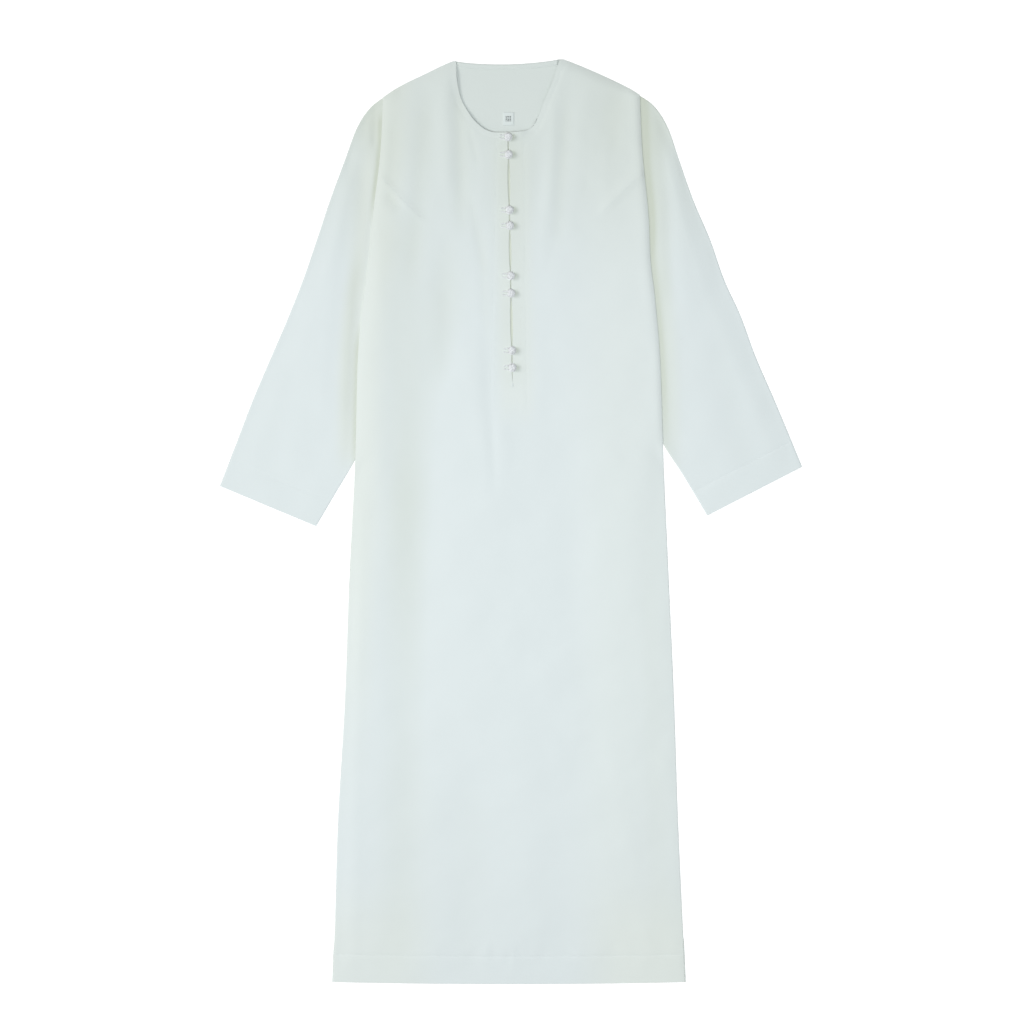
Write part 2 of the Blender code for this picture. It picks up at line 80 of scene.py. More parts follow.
# %% Camera, lamp, sky and table
EYE_HEIGHT = 5.0
FIELD = 1.551  # metres across the picture at the table
AIM = (0.0015, 0.0136)  # the camera looks straight down on this place
SKY_COLOUR, SKY_STRENGTH = (0.94, 0.98, 1.0, 1), 0.38
TABLE_COLOUR, TABLE_GLOW = (0.3, 0.3, 0.3, 1), 0.9
TABLE_HALF = 6  # metres from its middle to a side
TABLE_DROP = 0.0004  # the table lies this far under the cloth, so that the two faces don't fight

scene = bpy.context.scene
scene.view_settings.view_transform = "Standard"
scene.view_settings.look = "None"

camera = bpy.data.objects.new("camera", bpy.data.cameras.new("camera"))
camera.location = (*AIM, EYE_HEIGHT)
camera.data.lens = camera.data.sensor_width * EYE_HEIGHT / FIELD
camera.data.clip_end = 50
scene.collection.objects.link(camera)
scene.camera = camera

Lamp = namedtuple("Lamp", "name place size watts colour")
LAMPS = (
    Lamp("window", (-8.8, 1.6, 7.2), 5.0, 430, (1.0, 0.99, 0.97)),
    Lamp("overhead", (-0.09, -0.1, 2.3), 1.0, 26.8, (0.87, 0.95, 1.0)),
)
for lamp in LAMPS:
    light = bpy.data.lights.new(lamp.name, "AREA")
    light.shape = "DISK"
    light.size = lamp.size
    light.energy = lamp.watts
    light.color = lamp.colour
    holder = bpy.data.objects.new(lamp.name, light)
    holder.location = lamp.place
    holder.rotation_euler = (-Vector(lamp.place)).to_track_quat("-Z", "Y").to_euler()
    holder.visible_camera = False
    scene.collection.objects.link(holder)

world = bpy.data.worlds.new("sky")
world.use_nodes = True
world.node_tree.nodes["Background"].inputs["Color"].default_value = SKY_COLOUR
world.node_tree.nodes["Background"].inputs["Strength"].default_value = SKY_STRENGTH
scene.world = world

bm = bmesh.new()
bmesh.ops.create_grid(bm, x_segments=1, y_segments=1, size=TABLE_HALF)
bmesh.ops.translate(bm, vec=(0, 0, cad_box[0][2] - TABLE_DROP), verts=bm.verts)
table_mesh = bpy.data.meshes.new("table")
bm.to_mesh(table_mesh)
bm.free()
table = bpy.data.objects.new("table", table_mesh)
scene.collection.objects.link(table)
table_finish = bpy.data.materials.new("table")
table_finish.use_nodes = True
table_shader = table_finish.node_tree.nodes["Principled BSDF"]
table_shader.inputs["Base Color"].default_value = TABLE_COLOUR
table_shader.inputs["Roughness"].default_value = 0.9
table_shader.inputs["Specular IOR Level"].default_value = 0.1
table_shader.inputs["Emission Color"].default_value = (1, 1, 1, 1)
table_shader.inputs["Emission Strength"].default_value = TABLE_GLOW
table_mesh.materials.append(table_finish)
print("camera lens:", round(camera.data.lens, 1), "mm")

# %% [markdown]
# ## The cloth's finish
# The robe is a fine plain weave. Its threads are about half a millimetre apart, far too many to
# model, so two sets of waves at right angles give the weave as bump, and a soft noise makes some
# threads a little thicker. A second, larger noise keeps a big white area from looking printed. Two
# tints, each painted on the pieces as an attribute, are painted light: a painted shade, darker and
# warmer, in hollows, troughs and shadows, and a painted warmer light where the cloth is double.

# %% Finishes
THREAD = 0.55 * MM


def new_finish(name, colour, roughness, sheen):
    finish = bpy.data.materials.new(name)
    finish.use_nodes = True
    shader = finish.node_tree.nodes["Principled BSDF"]
    shader.inputs["Base Color"].default_value = (*colour, 1)
    shader.inputs["Roughness"].default_value = roughness
    shader.inputs["Specular IOR Level"].default_value = 0.25
    shader.inputs["Sheen Weight"].default_value = sheen
    shader.inputs["Sheen Roughness"].default_value = 0.6
    return finish, finish.node_tree, shader


def threads(tree, coordinates, direction, pitch):
    """Waves whose crests are one thread apart, across the cloth in the given direction."""
    wave = tree.nodes.new("ShaderNodeTexWave")
    wave.bands_direction = direction
    wave.inputs["Scale"].default_value = 2 * math.pi / (20 * pitch)
    wave.inputs["Distortion"].default_value = 1.2
    wave.inputs["Detail"].default_value = 1.0
    wave.inputs["Detail Scale"].default_value = 0.3
    tree.links.new(coordinates, wave.inputs["Vector"])
    return wave.outputs["Fac"]


def tone(tree, coordinates, shader, light_colour, dark_colour, size):
    """Mixes two near colours by a soft noise whose patches are about this size."""
    noise = tree.nodes.new("ShaderNodeTexNoise")
    noise.inputs["Scale"].default_value = 1 / size
    noise.inputs["Detail"].default_value = 3.0
    tree.links.new(coordinates, noise.inputs["Vector"])
    mix = tree.nodes.new("ShaderNodeMix")
    mix.data_type = "RGBA"
    mix.inputs["A"].default_value = (*dark_colour, 1)
    mix.inputs["B"].default_value = (*light_colour, 1)
    tree.links.new(noise.outputs["Fac"], mix.inputs["Factor"])
    tree.links.new(mix.outputs["Result"], shader.inputs["Base Color"])


PAINTED_SHADE_COLOUR = (0.632, 0.66, 0.56)  # painted shade, darker and warmer, for hollows and shadows that light reaches only through the cloth
PAINTED_WARMER_LIGHT = (0.80, 0.81, 0.70)  # painted warmer light, for where double cloth lets less of the white table through


def tint(tree, shader, attribute_name, colour):
    """Mixes the base colour towards another one by an attribute of the piece, from 0 to 1."""
    plain = shader.inputs["Base Color"].links[0].from_socket
    amount = tree.nodes.new("ShaderNodeAttribute")
    amount.attribute_name = attribute_name
    mix = tree.nodes.new("ShaderNodeMix")
    mix.data_type = "RGBA"
    mix.inputs["B"].default_value = (*colour, 1)
    tree.links.new(amount.outputs["Fac"], mix.inputs["Factor"])
    tree.links.new(plain, mix.inputs["A"])
    tree.links.new(mix.outputs["Result"], shader.inputs["Base Color"])


def woven(name, light_colour, dark_colour, turn=0.0, strength=0.35):
    """A plain weave on Object coordinates, turned by an angle so that it follows the piece's grain."""
    finish, tree, shader = new_finish(name, light_colour, 0.88, 0.12)
    place = tree.nodes.new("ShaderNodeTexCoord")
    mapping = tree.nodes.new("ShaderNodeMapping")
    mapping.inputs["Rotation"].default_value = (0, 0, turn)
    tree.links.new(place.outputs["Object"], mapping.inputs["Vector"])
    grain = mapping.outputs["Vector"]
    tone(tree, grain, shader, light_colour, dark_colour, 60 * MM)
    # painted warmer light, then painted shade, mixed into the base colour by the piece's attributes
    tint(tree, shader, "warm", PAINTED_WARMER_LIGHT)
    tint(tree, shader, "hollow", PAINTED_SHADE_COLOUR)
    weave = tree.nodes.new("ShaderNodeMath")
    weave.operation = "MULTIPLY"
    tree.links.new(threads(tree, grain, "X", THREAD), weave.inputs[0])
    tree.links.new(threads(tree, grain, "Y", THREAD), weave.inputs[1])
    slub = tree.nodes.new("ShaderNodeTexNoise")
    slub.inputs["Scale"].default_value = 1 / (7 * MM)
    slub.inputs["Detail"].default_value = 4.0
    tree.links.new(grain, slub.inputs["Vector"])
    height = tree.nodes.new("ShaderNodeMath")
    height.operation = "MULTIPLY_ADD"
    height.inputs[2].default_value = 0.0
    tree.links.new(slub.outputs["Fac"], height.inputs[1])
    tree.links.new(weave.outputs["Value"], height.inputs[0])
    bump = tree.nodes.new("ShaderNodeBump")
    bump.inputs["Strength"].default_value = strength
    bump.inputs["Distance"].default_value = 0.12 * MM
    tree.links.new(height.outputs["Value"], bump.inputs["Height"])
    tree.links.new(bump.outputs["Normal"], shader.inputs["Normal"])
    return finish


CLOTH_LIGHT = (0.773, 0.808, 0.795)
CLOTH_DARK = (0.753, 0.788, 0.775)
SLEEVE_TURN = math.radians(25)  # how far each sleeve's grain is turned from the body's
cloth_finish = woven("robe cloth", CLOTH_LIGHT, CLOTH_DARK)
sleeve_finishes = {
    -1: woven("right sleeve cloth", CLOTH_LIGHT, CLOTH_DARK, turn=SLEEVE_TURN),
    1: woven("left sleeve cloth", CLOTH_LIGHT, CLOTH_DARK, turn=-SLEEVE_TURN),
}
UNDERLAP_LIGHT, UNDERLAP_DARK = (0.75, 0.77, 0.66), (0.73, 0.75, 0.64)  # in the slit's shade, so warmer
RIBBON_LIGHT, RIBBON_DARK = (0.755, 0.795, 0.765), (0.735, 0.775, 0.745)
underlap_finish = woven("underlap cloth", UNDERLAP_LIGHT, UNDERLAP_DARK)
label_finish = woven("label ribbon", RIBBON_LIGHT, RIBBON_DARK, strength=0.15)
thread_finish = new_finish("sewing thread", (0.76, 0.79, 0.78), 0.6, 0.2)[0]
print_finish = new_finish("label print", (0.12, 0.13, 0.13), 0.7, 0.0)[0]
print("finishes:", len(bpy.data.materials))

# %% [markdown]
# ## Lines of the pattern
# All the pieces share a few lines: the body's two edges, the shoulders, the neckline, the slit and
# the sleeves' edges. They are short tables in millimetres, the same that the solids were cut to, and
# a smooth curve is drawn through each. Numpy arrays work out thousands of places at once.

# %% Curves through the tables
FRONT_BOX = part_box("front_panel")
LENGTH = (FRONT_BOX[1][1] - FRONT_BOX[0][1]) / MM
HEM_BOW = 3.0


def flowing(points, steps=16):
    """Closely spaced points on a smooth curve through the given ones (Catmull-Rom)."""
    p = np.array(points, float)
    padded = np.vstack([p[:1], p, p[-1:]])
    t = np.linspace(0, 1, steps, endpoint=False)[:, None]
    runs = []
    for a, b, c, d in zip(padded, padded[1:], padded[2:], padded[3:]):
        straight = 2 * b + (c - a) * t
        runs.append(0.5 * (straight + (2 * a - 5 * b + 4 * c - d) * t**2 + (3 * b - a - 3 * c + d) * t**3))
    return np.vstack([*runs, p[-1:]])


def smooth(t):
    """From 0 to 1 as t goes from 0 to 1, without a corner at either end."""
    t = np.clip(t, 0, 1)
    return t * t * (3 - 2 * t)


def rise(value, start, end):
    """From 0 where the value is at the start to 1 where it is at the end, which may be the lower one."""
    return smooth((value - start) / (end - start))


def rounded(away, reach):
    """From 0 at an edge to 1 at this distance from it, as a quarter of a circle."""
    return np.sqrt(1 - (1 - np.clip(away / reach, 0, 1)) ** 2)


BODY_EDGES = (  # height on the robe, then x of the wearer's right edge and of the left one
    (-701, -270, 264), (-620, -267, 260.5), (-453, -262, 253), (-271, -251.5, 247), (-89, -245, 239),
    (92, -236, 231), (244, -232, 225.5), (335, -224, 218), (395, -215, 211), (464, -209, 208),
    (556, -198, 199), (641, -194, 195),
)
SHOULDERS = {
    -1: ((-194, 641), (-168, 658.5), (-129, 677.5), (-97, 693), (-83, 697.5)),
    1: ((195, 645), (173, 658.5), (133, 677.5), (95, 693.5), (74, 701)),
}
SLIT_TOP, SLIT_END = (-4.5, 588.0), (2.3, 209.0)
NECKLINES = {
    -1: ((-83, 697.5), (-82, 668), (-76, 640), (-66, 621), (-56, 607), (-43, 595), (-28, 588.5), SLIT_TOP),
    1: ((74, 701), (66, 676), (58, 655), (49, 634), (41, 612), (33, 597), (20, 590.5), SLIT_TOP),
}
edge_curve = flowing(BODY_EDGES)


def body_edge(side, y):
    """x of the body's edge on one side, at these heights."""
    return np.interp(y, edge_curve[:, 0], edge_curve[:, 2 if side > 0 else 1])


def hem_y(x):
    """The hem hangs a little lower in the middle than at its corners."""
    return -LENGTH / 2 + HEM_BOW * (x / BODY_EDGES[0][2]) ** 2


def slit_x(y):
    return np.interp(y, (SLIT_END[1], SLIT_TOP[1]), (SLIT_END[0], SLIT_TOP[0]))


print("length", round(LENGTH), "mm; hem", round(BODY_EDGES[0][2] - BODY_EDGES[0][1]), "mm")

# %% The sleeves' edges
SLEEVE_ROWS = {  # outer fold x and y, under edge x and y, and how high the tube is puffed there
    -1: (
        (-441, 53, -295, -8, 0.9), (-414, 123, -268, 38, 1.5), (-391, 183, -236, 92, 2.2),
        (-365, 244, -209, 145, 2.7), (-339, 304.5, -192, 195, 3.0), (-315, 365, -187, 240, 3.2),
        (-294, 426, -188, 285, 3.3), (-274, 486, -194, 322, 3.2), (-251.5, 547, -199, 340, 2.8),
        (-233, 596, -202.5, 354, 1.9), (-212, 627, -203.3, 366, 0.8), (-184, 647, -202, 378, 0.0),
    ),
    1: (
        (441, 82, 297, 8, 0.9), (417, 140, 263, 65, 1.5), (396, 190, 231, 115, 2.2),
        (370, 250, 205, 165, 2.7), (348, 310, 191, 212, 3.0), (323, 365, 185, 255, 3.2),
        (301.5, 426, 186, 295, 3.3), (276, 486, 190.5, 325, 3.2), (254.5, 547, 195.5, 342, 2.8),
        (237, 597, 199, 354, 1.9), (215, 630, 200.3, 366, 0.8), (186, 649, 199, 378, 0.0),
    ),
}
UNDERARM_Y = 378
sleeve_curves = {side: flowing(rows) for side, rows in SLEEVE_ROWS.items()}
sleeve_outlines = {side: np.vstack([c[:, :2], c[::-1, 2:4], c[:1, :2]]) for side, c in sleeve_curves.items()}
print("cuffs", [round(math.dist(r[0][:2], r[0][2:4])) for r in SLEEVE_ROWS.values()], "mm")

# %% [markdown]
# ## Measuring on the cloth
# Most shaping asks how far a place is from some line: from the side seam, where the front rolls
# down, from a sleeve that lies beneath, or from a row of stitches. One function measures that for
# every point of a sheet at once.

# %% Distances
def distance_to(line, x, y):
    """Shortest distance from every (x, y) to a line of points."""
    best = np.full(np.shape(x), np.inf)
    for (ax, ay), (bx, by) in zip(line[:-1], line[1:]):
        dx, dy = bx - ax, by - ay
        t = np.clip(((x - ax) * dx + (y - ay) * dy) / max(dx * dx + dy * dy, 1e-9), 0, 1)
        best = np.minimum(best, np.hypot(x - ax - t * dx, y - ay - t * dy))
    return best


def is_inside(outline, x, y):
    """Whether each (x, y) is inside: a ray from it then crosses an odd number of the outline's edges."""
    crossed = np.zeros(np.shape(x), bool)
    for (ax, ay), (bx, by) in zip(outline[:-1], outline[1:]):
        if ay == by:
            continue
        spans = (ay > y) != (by > y)
        crossed ^= spans & (x < ax + (bx - ax) * (y - ay) / (by - ay))
    return crossed


LIFT, LIFT_MARGIN, LIFT_RAMP = 2.6, 2.5, 16.0  # what lies on a sleeve is raised, past its edge too


def lift(x, y):
    """How far the body's cloth is raised by a sleeve beneath it."""
    raised = np.zeros(np.shape(x))
    for outline in sleeve_outlines.values():
        away = np.where(is_inside(outline, x, y), 0, distance_to(outline, x, y))
        raised = np.maximum(raised, LIFT * smooth(1 - (away - LIFT_MARGIN) / LIFT_RAMP))
    return raised


print("lift at the underarm:", round(float(lift(np.array([-215.0]), np.array([300.0]))[0]), 2), "mm")

# %% [markdown]
# ## Folds
# Laid flat, the robe keeps soft folds where it hung and where its halves were smoothed out by hand.
# Each is a trough or ridge along a line, with a rounded section, and it fades out at both ends. No
# two are alike, so they stand in a table. Noise could place them too, but not where they belong. A
# very slight unevenness comes on top, a sum of long waves with fixed random phases, and makes it
# read as cloth and not as card.

# %% The fold tables and the waves
Fold = namedtuple("Fold", "x0 y0 x1 y1 half_width height")
FRONT_FOLDS = (
    Fold(-99, 660, -96, 500, 13, 1.8),
    Fold(-128, 630, -148, 370, 15, -1.5),
    Fold(-80, 650, -74, 450, 12, -1.7),
    Fold(-61, 485, -40, 380, 6, -0.8),
    Fold(-64, 598, -50, 540, 4, -0.6),
    Fold(-40, 570, -30, 440, 10, 0.8),
    Fold(-176, 600, -180, 480, 14, -0.9),
    Fold(-186, 494, -168, 472, 7, -1.1),
    Fold(-199, 400, -207, 60, 24, 2.1),
    Fold(-97, 425, -103, 210, 17, -1.1),
    Fold(-98, 380, -153, 0, 36, -2.0),
    Fold(66, 625, 57, 480, 9, 1.2),
    Fold(85, 630, 71, 430, 11, -1.1),
    Fold(58, 490, 43, 385, 10, 0.7),
    Fold(119, 600, 114, 500, 9, -0.5),
    Fold(147, 590, 140, 500, 9, 0.5),
    Fold(110, 655, 116, 520, 16, 0.9),
    Fold(194, 527, 140, 477, 8, 1.0),
    Fold(160, 650, 150, 560, 18, -1.2),
    Fold(34, 570, 30, 450, 10, -0.6),
    Fold(-43, 440, -26, 70, 8, -1.3),
    Fold(-18, 300, -8, 60, 12, 0.4),
    Fold(-143, 30, -168, -660, 32, -1.9),
    Fold(-229, 70, -240, -690, 14, 1.3),
    Fold(-40, 260, -30, -360, 100, 2.4),
    Fold(52, 290, 58, 130, 16, -0.6),
    Fold(90, 240, 96, -200, 24, -0.7),
    Fold(150, 150, 160, -600, 44, 1.2),
    Fold(206, -40, 226, -640, 22, -1.0),
    Fold(206, 600, 214, 330, 14, 1.3),
    Fold(197, 655, 199, 560, 10, 1.4),
    Fold(-60, -330, -66, -690, 30, -0.5),
    Fold(20, -380, 26, -690, 34, 0.5),
)
SLEEVE_FOLDS = {
    -1: (
        Fold(-207, 632, -206, 568, 5, -1.6),
        Fold(-203, 575, -216, 380, 9, 1.5),
        Fold(-240, 560, -250, 400, 12, -1.2),
        Fold(-225, 540, -230, 330, 14, -2.0),
        Fold(-268, 420, -290, 140, 14, 1.0),
        Fold(-292, 330, -330, 90, 26, 0.7),
        Fold(-330, 240, -372, 60, 20, -0.4),
        Fold(-216, 618, -232, 560, 8, -0.9),
    ),
    1: (
        Fold(252, 585, 264, 330, 14, 0.5),
        Fold(228, 625, 240, 340, 12, -1.1),
        Fold(262, 420, 300, 120, 24, 0.7),
        Fold(300, 330, 352, 90, 22, -0.5),
        Fold(330, 300, 392, 110, 18, 0.4),
    ),
}
YOKE_LINES = {  # the stitched lines of the yoke behind, which stand up as narrow ridges
    -1: flowing(((-195, 519), (-166, 488), (-135, 457.5), (-95, 418), (-51, 383), (-30, 362))),
    1: flowing(((196, 524), (162, 491), (127, 456), (92, 424), (52, 388), (24, 366))),
}
YOKE_RIDGE, YOKE_WIDTH = 1.3, {-1: 3.8, 1: 5.2}
YOKE_FADE = (55.0, 120.0)  # the ridge is clear over the first length and gone after the second
FOLD_FADE = 0.15  # a fold fades out over this share of its length, inside and outside each end


def folds_at(folds, x, y):
    """The height that the folds add at each (x, y)."""
    total = np.zeros(np.shape(x))
    for fold in folds:
        dx, dy = fold.x1 - fold.x0, fold.y1 - fold.y0
        t = ((x - fold.x0) * dx + (y - fold.y0) * dy) / (dx * dx + dy * dy)
        aside = np.hypot(x - fold.x0 - t * dx, y - fold.y0 - t * dy) / fold.half_width
        ends = smooth((t + FOLD_FADE) / (2 * FOLD_FADE)) * smooth((1 + FOLD_FADE - t) / (2 * FOLD_FADE))
        total += fold.height * np.exp(-aside * aside) * ends
    return total


def waves_at(x, y, seed, height, shortest, longest, lean=0.45, count=22):
    """Unevenness of about this height: waves of several lengths that run mostly across the cloth."""
    draw = np.random.default_rng(seed)
    total = np.zeros(np.shape(x))
    for _ in range(count):
        length = math.exp(draw.uniform(math.log(shortest), math.log(longest)))
        heading = draw.normal(0, lean)
        phase = draw.uniform(0, 2 * math.pi)
        along = x * math.cos(heading) + y * math.sin(heading)
        total += np.sin(2 * math.pi * along / length + phase)
    return total * height / math.sqrt(count / 2)


print("folds:", len(FRONT_FOLDS), "on the front,", [len(f) for f in SLEEVE_FOLDS.values()], "on the sleeves")

# %% [markdown]
# ## Where the stitching runs
# Rows of stitches pull the cloth down, so they are decided before the sheets are laid: the turned
# hem, both cuffs, the bound neck, the stitched box of the placket and the yoke. Each is a line of
# points, because the same line presses the groove here and carries the stitches at the end.

# %% Stitch lines
HEM_DEPTH = 42.0
HEM_MARGIN = 5.0  # the hem's row stops this far from the side seams
NECK_BAND = 7.5
NECK_POINTS = slice(4, -4)  # the neck's row stops a few points short of its ends
PLACKET_LEFT = ((-21, 583), (-24, 480), (-28, 330), (-32, 172))
PLACKET_RIGHT = ((19, 586), (20, 480), (21, 330), (23, 172))
PLACKET_BOTTOM = ((-32, 172), (-4, 168), (23, 172))


def inset(line, distance, side):
    """The line moved sideways by a distance, to its left where side is positive."""
    line = np.array(line, float)
    along = np.gradient(line, axis=0)
    along /= np.linalg.norm(along, axis=1)[:, None]
    return line + side * distance * np.column_stack([-along[:, 1], along[:, 0]])


def up_from(start, toward, distance):
    """The place this far from the start, in the other place's direction."""
    start, toward = np.array(start), np.array(toward)
    return start + (toward - start) / math.dist(toward, start) * distance


neck_stitches = {side: inset(flowing(line), NECK_BAND, side)[NECK_POINTS] for side, line in NECKLINES.items()}
hem_x = np.linspace(BODY_EDGES[0][1] + HEM_MARGIN, BODY_EDGES[0][2] - HEM_MARGIN, 60)
hem_stitches = np.column_stack([hem_x, hem_y(hem_x) + HEM_DEPTH])
placket_stitches = np.vstack([flowing(PLACKET_LEFT), flowing(PLACKET_BOTTOM), flowing(PLACKET_RIGHT)[::-1]])
cuff_stitches = {}
for side, (cuff, above, *_) in SLEEVE_ROWS.items():
    outer, under = (up_from(cuff[k : k + 2], above[k : k + 2], HEM_DEPTH) for k in (0, 2))
    cuff_stitches[side] = np.linspace(outer, under, 30)
print("stitch lines:", len(neck_stitches) + len(cuff_stitches) + len(YOKE_LINES) + 2)

# %% [markdown]
# ## From a flat grid to a laid sheet
# Every cloth piece starts as Blender's own grid. A grid of places says where each of its points
# goes: evenly spread over the cloth, but close together where the cloth bends sharply, as at the
# side seams. Cutting the outline from a plain grid would be quicker, but leave a ragged edge. For
# the front the places aren't simple, because its upper edge climbs the shoulder and then dives down
# the neckline, so they are first spread roughly between the four edges and then relaxed, each moved
# to the middle of its four neighbours, until no square is squashed.

# %% Spreading places between four edges
def spread(line, shares):
    """Places at the given shares of a line's length."""
    line = np.asarray(line, float)
    run = np.concatenate([[0], np.cumsum(np.linalg.norm(np.diff(line, axis=0), axis=1))])
    return np.column_stack([np.interp(np.asarray(shares) * run[-1], run, line[:, k]) for k in range(2)])


def patch_between(low, high, first, last):
    """A grid of places between a lower and an upper edge and the two at its ends (a Coons patch)."""
    u = np.linspace(0, 1, len(low))[None, :, None]
    v = np.linspace(0, 1, len(first))[:, None, None]
    across = (1 - v) * low[None] + v * high[None]
    along = (1 - u) * first[:, None] + u * last[:, None]
    corners = (1 - v) * ((1 - u) * low[0] + u * low[-1]) + v * ((1 - u) * high[0] + u * high[-1])
    return across + along - corners


def relax(places, rounds):
    """Moves each place inside the grid to the middle of its neighbours, this many times."""
    for _ in range(rounds):
        middle = places[:-2, 1:-1] + places[2:, 1:-1] + places[1:-1, :-2] + places[1:-1, 2:]
        places[1:-1, 1:-1] = middle / 4
    return places


def sample(places, rows, columns):
    """Places at fractional rows and columns of a grid of places."""
    r, c = np.meshgrid(rows, columns, indexing="ij")
    r0 = np.clip(r.astype(int), 0, places.shape[0] - 2)
    c0 = np.clip(c.astype(int), 0, places.shape[1] - 2)
    fr, fc = (r - r0)[..., None], (c - c0)[..., None]
    low = places[r0, c0] * (1 - fc) + places[r0, c0 + 1] * fc
    high = places[r0 + 1, c0] * (1 - fc) + places[r0 + 1, c0 + 1] * fc
    return low * (1 - fr) + high * fr


def graded(near_start, even, total, near_end):
    """Distances from 0 to total: some close to the start, even steps, and some close to the end."""
    inner = np.arange(near_start[-1] + even, total - near_end[-1] - even / 2, even)
    return np.concatenate([near_start, inner, [total - d for d in reversed(near_end)]])


print("helpers ready for", len(SHOULDERS), "halves of the front")

# %% A sheet from its places
def sheet_mesh(*surfaces, weld=0.02):
    """One bmesh with a grid for each surface, an array of rows of points in millimetres."""
    bm = bmesh.new()
    for surface in surfaces:
        rows, columns = surface.shape[0] - 1, surface.shape[1] - 1
        made = bmesh.ops.create_grid(bm, x_segments=columns, y_segments=rows, size=0.5)
        for vert in made["verts"]:
            row, column = round((vert.co.y + 0.5) * rows), round((vert.co.x + 0.5) * columns)
            vert.co = Vector(surface[row, column]) * MM
    bmesh.ops.remove_doubles(bm, verts=bm.verts, dist=weld * MM)
    return bm


def piece_from(bm, name, finish, *nodes, slot="cloth", wall=None):
    """Makes the object, and gives it a wall on the inner side of its surface if one is asked for."""
    mesh = bpy.data.meshes.new(name)
    bm.to_mesh(mesh)
    bm.free()
    mesh.shade_smooth()
    mesh.materials.append(finish)
    piece = bpy.data.objects.new(name, mesh)
    scene.collection.objects.link(piece)
    if wall:
        shell = piece.modifiers.new("wall", "SOLIDIFY")
        shell.thickness = wall * MM
        shell.offset = -1
        shell.use_quality_normals = True
    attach(piece, "root")
    if nodes:
        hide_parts(*nodes)
    return piece


YOKE_SHADE, YOKE_HEIGHTS = 0.31, (330, 620)  # the painted shade's share, and between which heights it rises


def yoke_painted_shade(x, y, z):
    """Painted shade that grows towards the shoulders, where the yoke makes the robe double."""
    return YOKE_SHADE * rise(y, *YOKE_HEIGHTS)


def mark(piece, **amounts):
    """Stores an attribute from 0 to 1 for each of the finish's tints, given as functions of the place."""
    x, y, z = (np.array([vert.co for vert in piece.data.vertices]) / MM).T
    for name, amount_at in amounts.items():
        attribute = piece.data.attributes.new(name, "FLOAT", "POINT")
        attribute.data.foreach_set("value", np.clip(amount_at(x, y, z), 0, 1).astype(np.float32))


print("a sheet's wall goes on its inner side")

# %% [markdown]
# ## The front
# The front is the big sheet that everything else is judged by. Its height above the table is one
# function of the place: it lies 5.8 mm up on the back, rolls down to the table at the side seams and
# shoulders, rises over a sleeve beneath, sinks a little towards the neckline, and carries the folds
# and the relief of the sewing. Sculpting could give the same relief, but not the same again next
# time. The two halves part along the slit and are one cloth below it, where their middle columns are
# welded.

# %% The front's height
FRONT_TOP, HEM_TOP, HEM_SETTLE = 5.8, 3.4, 150.0
BY_SLEEVE = (40, 160)  # between these heights the sleeve begins to lie beside the seam
ROLL_BY_SLEEVE, ROLL_BELOW = {-1: 4.6, 1: 3.0}, 9.0  # the roll's width as a share of its height
SEAM_REST = 0.65  # the seam's own edge, above what it lies on
RIM_BY_SLEEVE, RIM_BELOW, RIM_WIDTH = 0.65, 2.3, 1.2  # folded under at its seam, the cloth has a round rim
PLACKET_SIDES, PLACKET_HEIGHTS = (26, 56), (112, 202)  # the stiff placket's side and end: it has no folds
BUTTON_ROWS = (581, 554.5, 470.5, 447, 371, 344.5, 258, 232)
HEM_CRUMPLE, CRUMPLE_REACH = 0.16, 24  # a hem's stitches shorten it, which crumples both its sides
DOUBLE, DOUBLE_RAMP = 0.25, 2.5  # how much the cloth rises where it is double, and over what distance
STITCH_DEPTH, STITCH_HALF = 0.28, 1.9
PLACKET_SHARE = 0.5  # the placket's own stitches are pulled less tight
FOLD_CLEAR = 20  # folds begin this far from the seams
HEM_CLEAR, HEM_KEEPS = 60, 0.25  # and start to fade this far above the hem
BAND_CLEAR, CRUMPLE_CLEAR, YOKE_CLEAR = 6, 12, 4  # what is sewn begins nearer to the seams

rolled_edges = {}
for side in (-1, 1):
    corner_y = float(hem_y(body_edge(side, -LENGTH / 2)))
    seam_ys = np.linspace(corner_y, SHOULDERS[side][0][1], 60)[:-1]
    seam = np.column_stack([body_edge(side, seam_ys), seam_ys])
    rolled_edges[side] = np.vstack([seam, flowing(SHOULDERS[side], 4)])
neck_edges = {side: flowing(line, 6) for side, line in NECKLINES.items()}


def band(line, x, y, sewn_side):
    """Relief of a row of stitches: a groove, and cloth that is doubled on the side given by a test."""
    away = distance_to(line, x, y)
    step = DOUBLE * np.where(sewn_side, smooth(away / DOUBLE_RAMP), 0)
    return step - STITCH_DEPTH * np.exp(-((away / STITCH_HALF) ** 2))


NECK_DROOP, DROOP_HEIGHTS = 2.0, (585, 615)  # the cloth sinks at the neckline, above the slit
RIGHT_SHARE = 0.5  # the wearer's right side sinks less
CORNER_DROOP, CORNER_X, CORNER_HEIGHTS = 2.8, (12, 30), (655, 625)  # and the neckline's left corner more
NECK_SOFT = 16.0  # it sinks within this distance of the neckline


def neck_droop(x, y):
    """How far the cloth sinks towards the neckline, where nothing below holds it up."""
    droop = NECK_DROOP * rise(y, *DROOP_HEIGHTS) * np.where(x < 0, RIGHT_SHARE, 1)
    corner = CORNER_DROOP * rise(x, *CORNER_X) * rise(y, *CORNER_HEIGHTS)
    away = np.minimum(*(distance_to(edge, x, y) for edge in neck_edges.values()))
    return np.maximum(droop, corner) * (1 - smooth(away / NECK_SOFT))


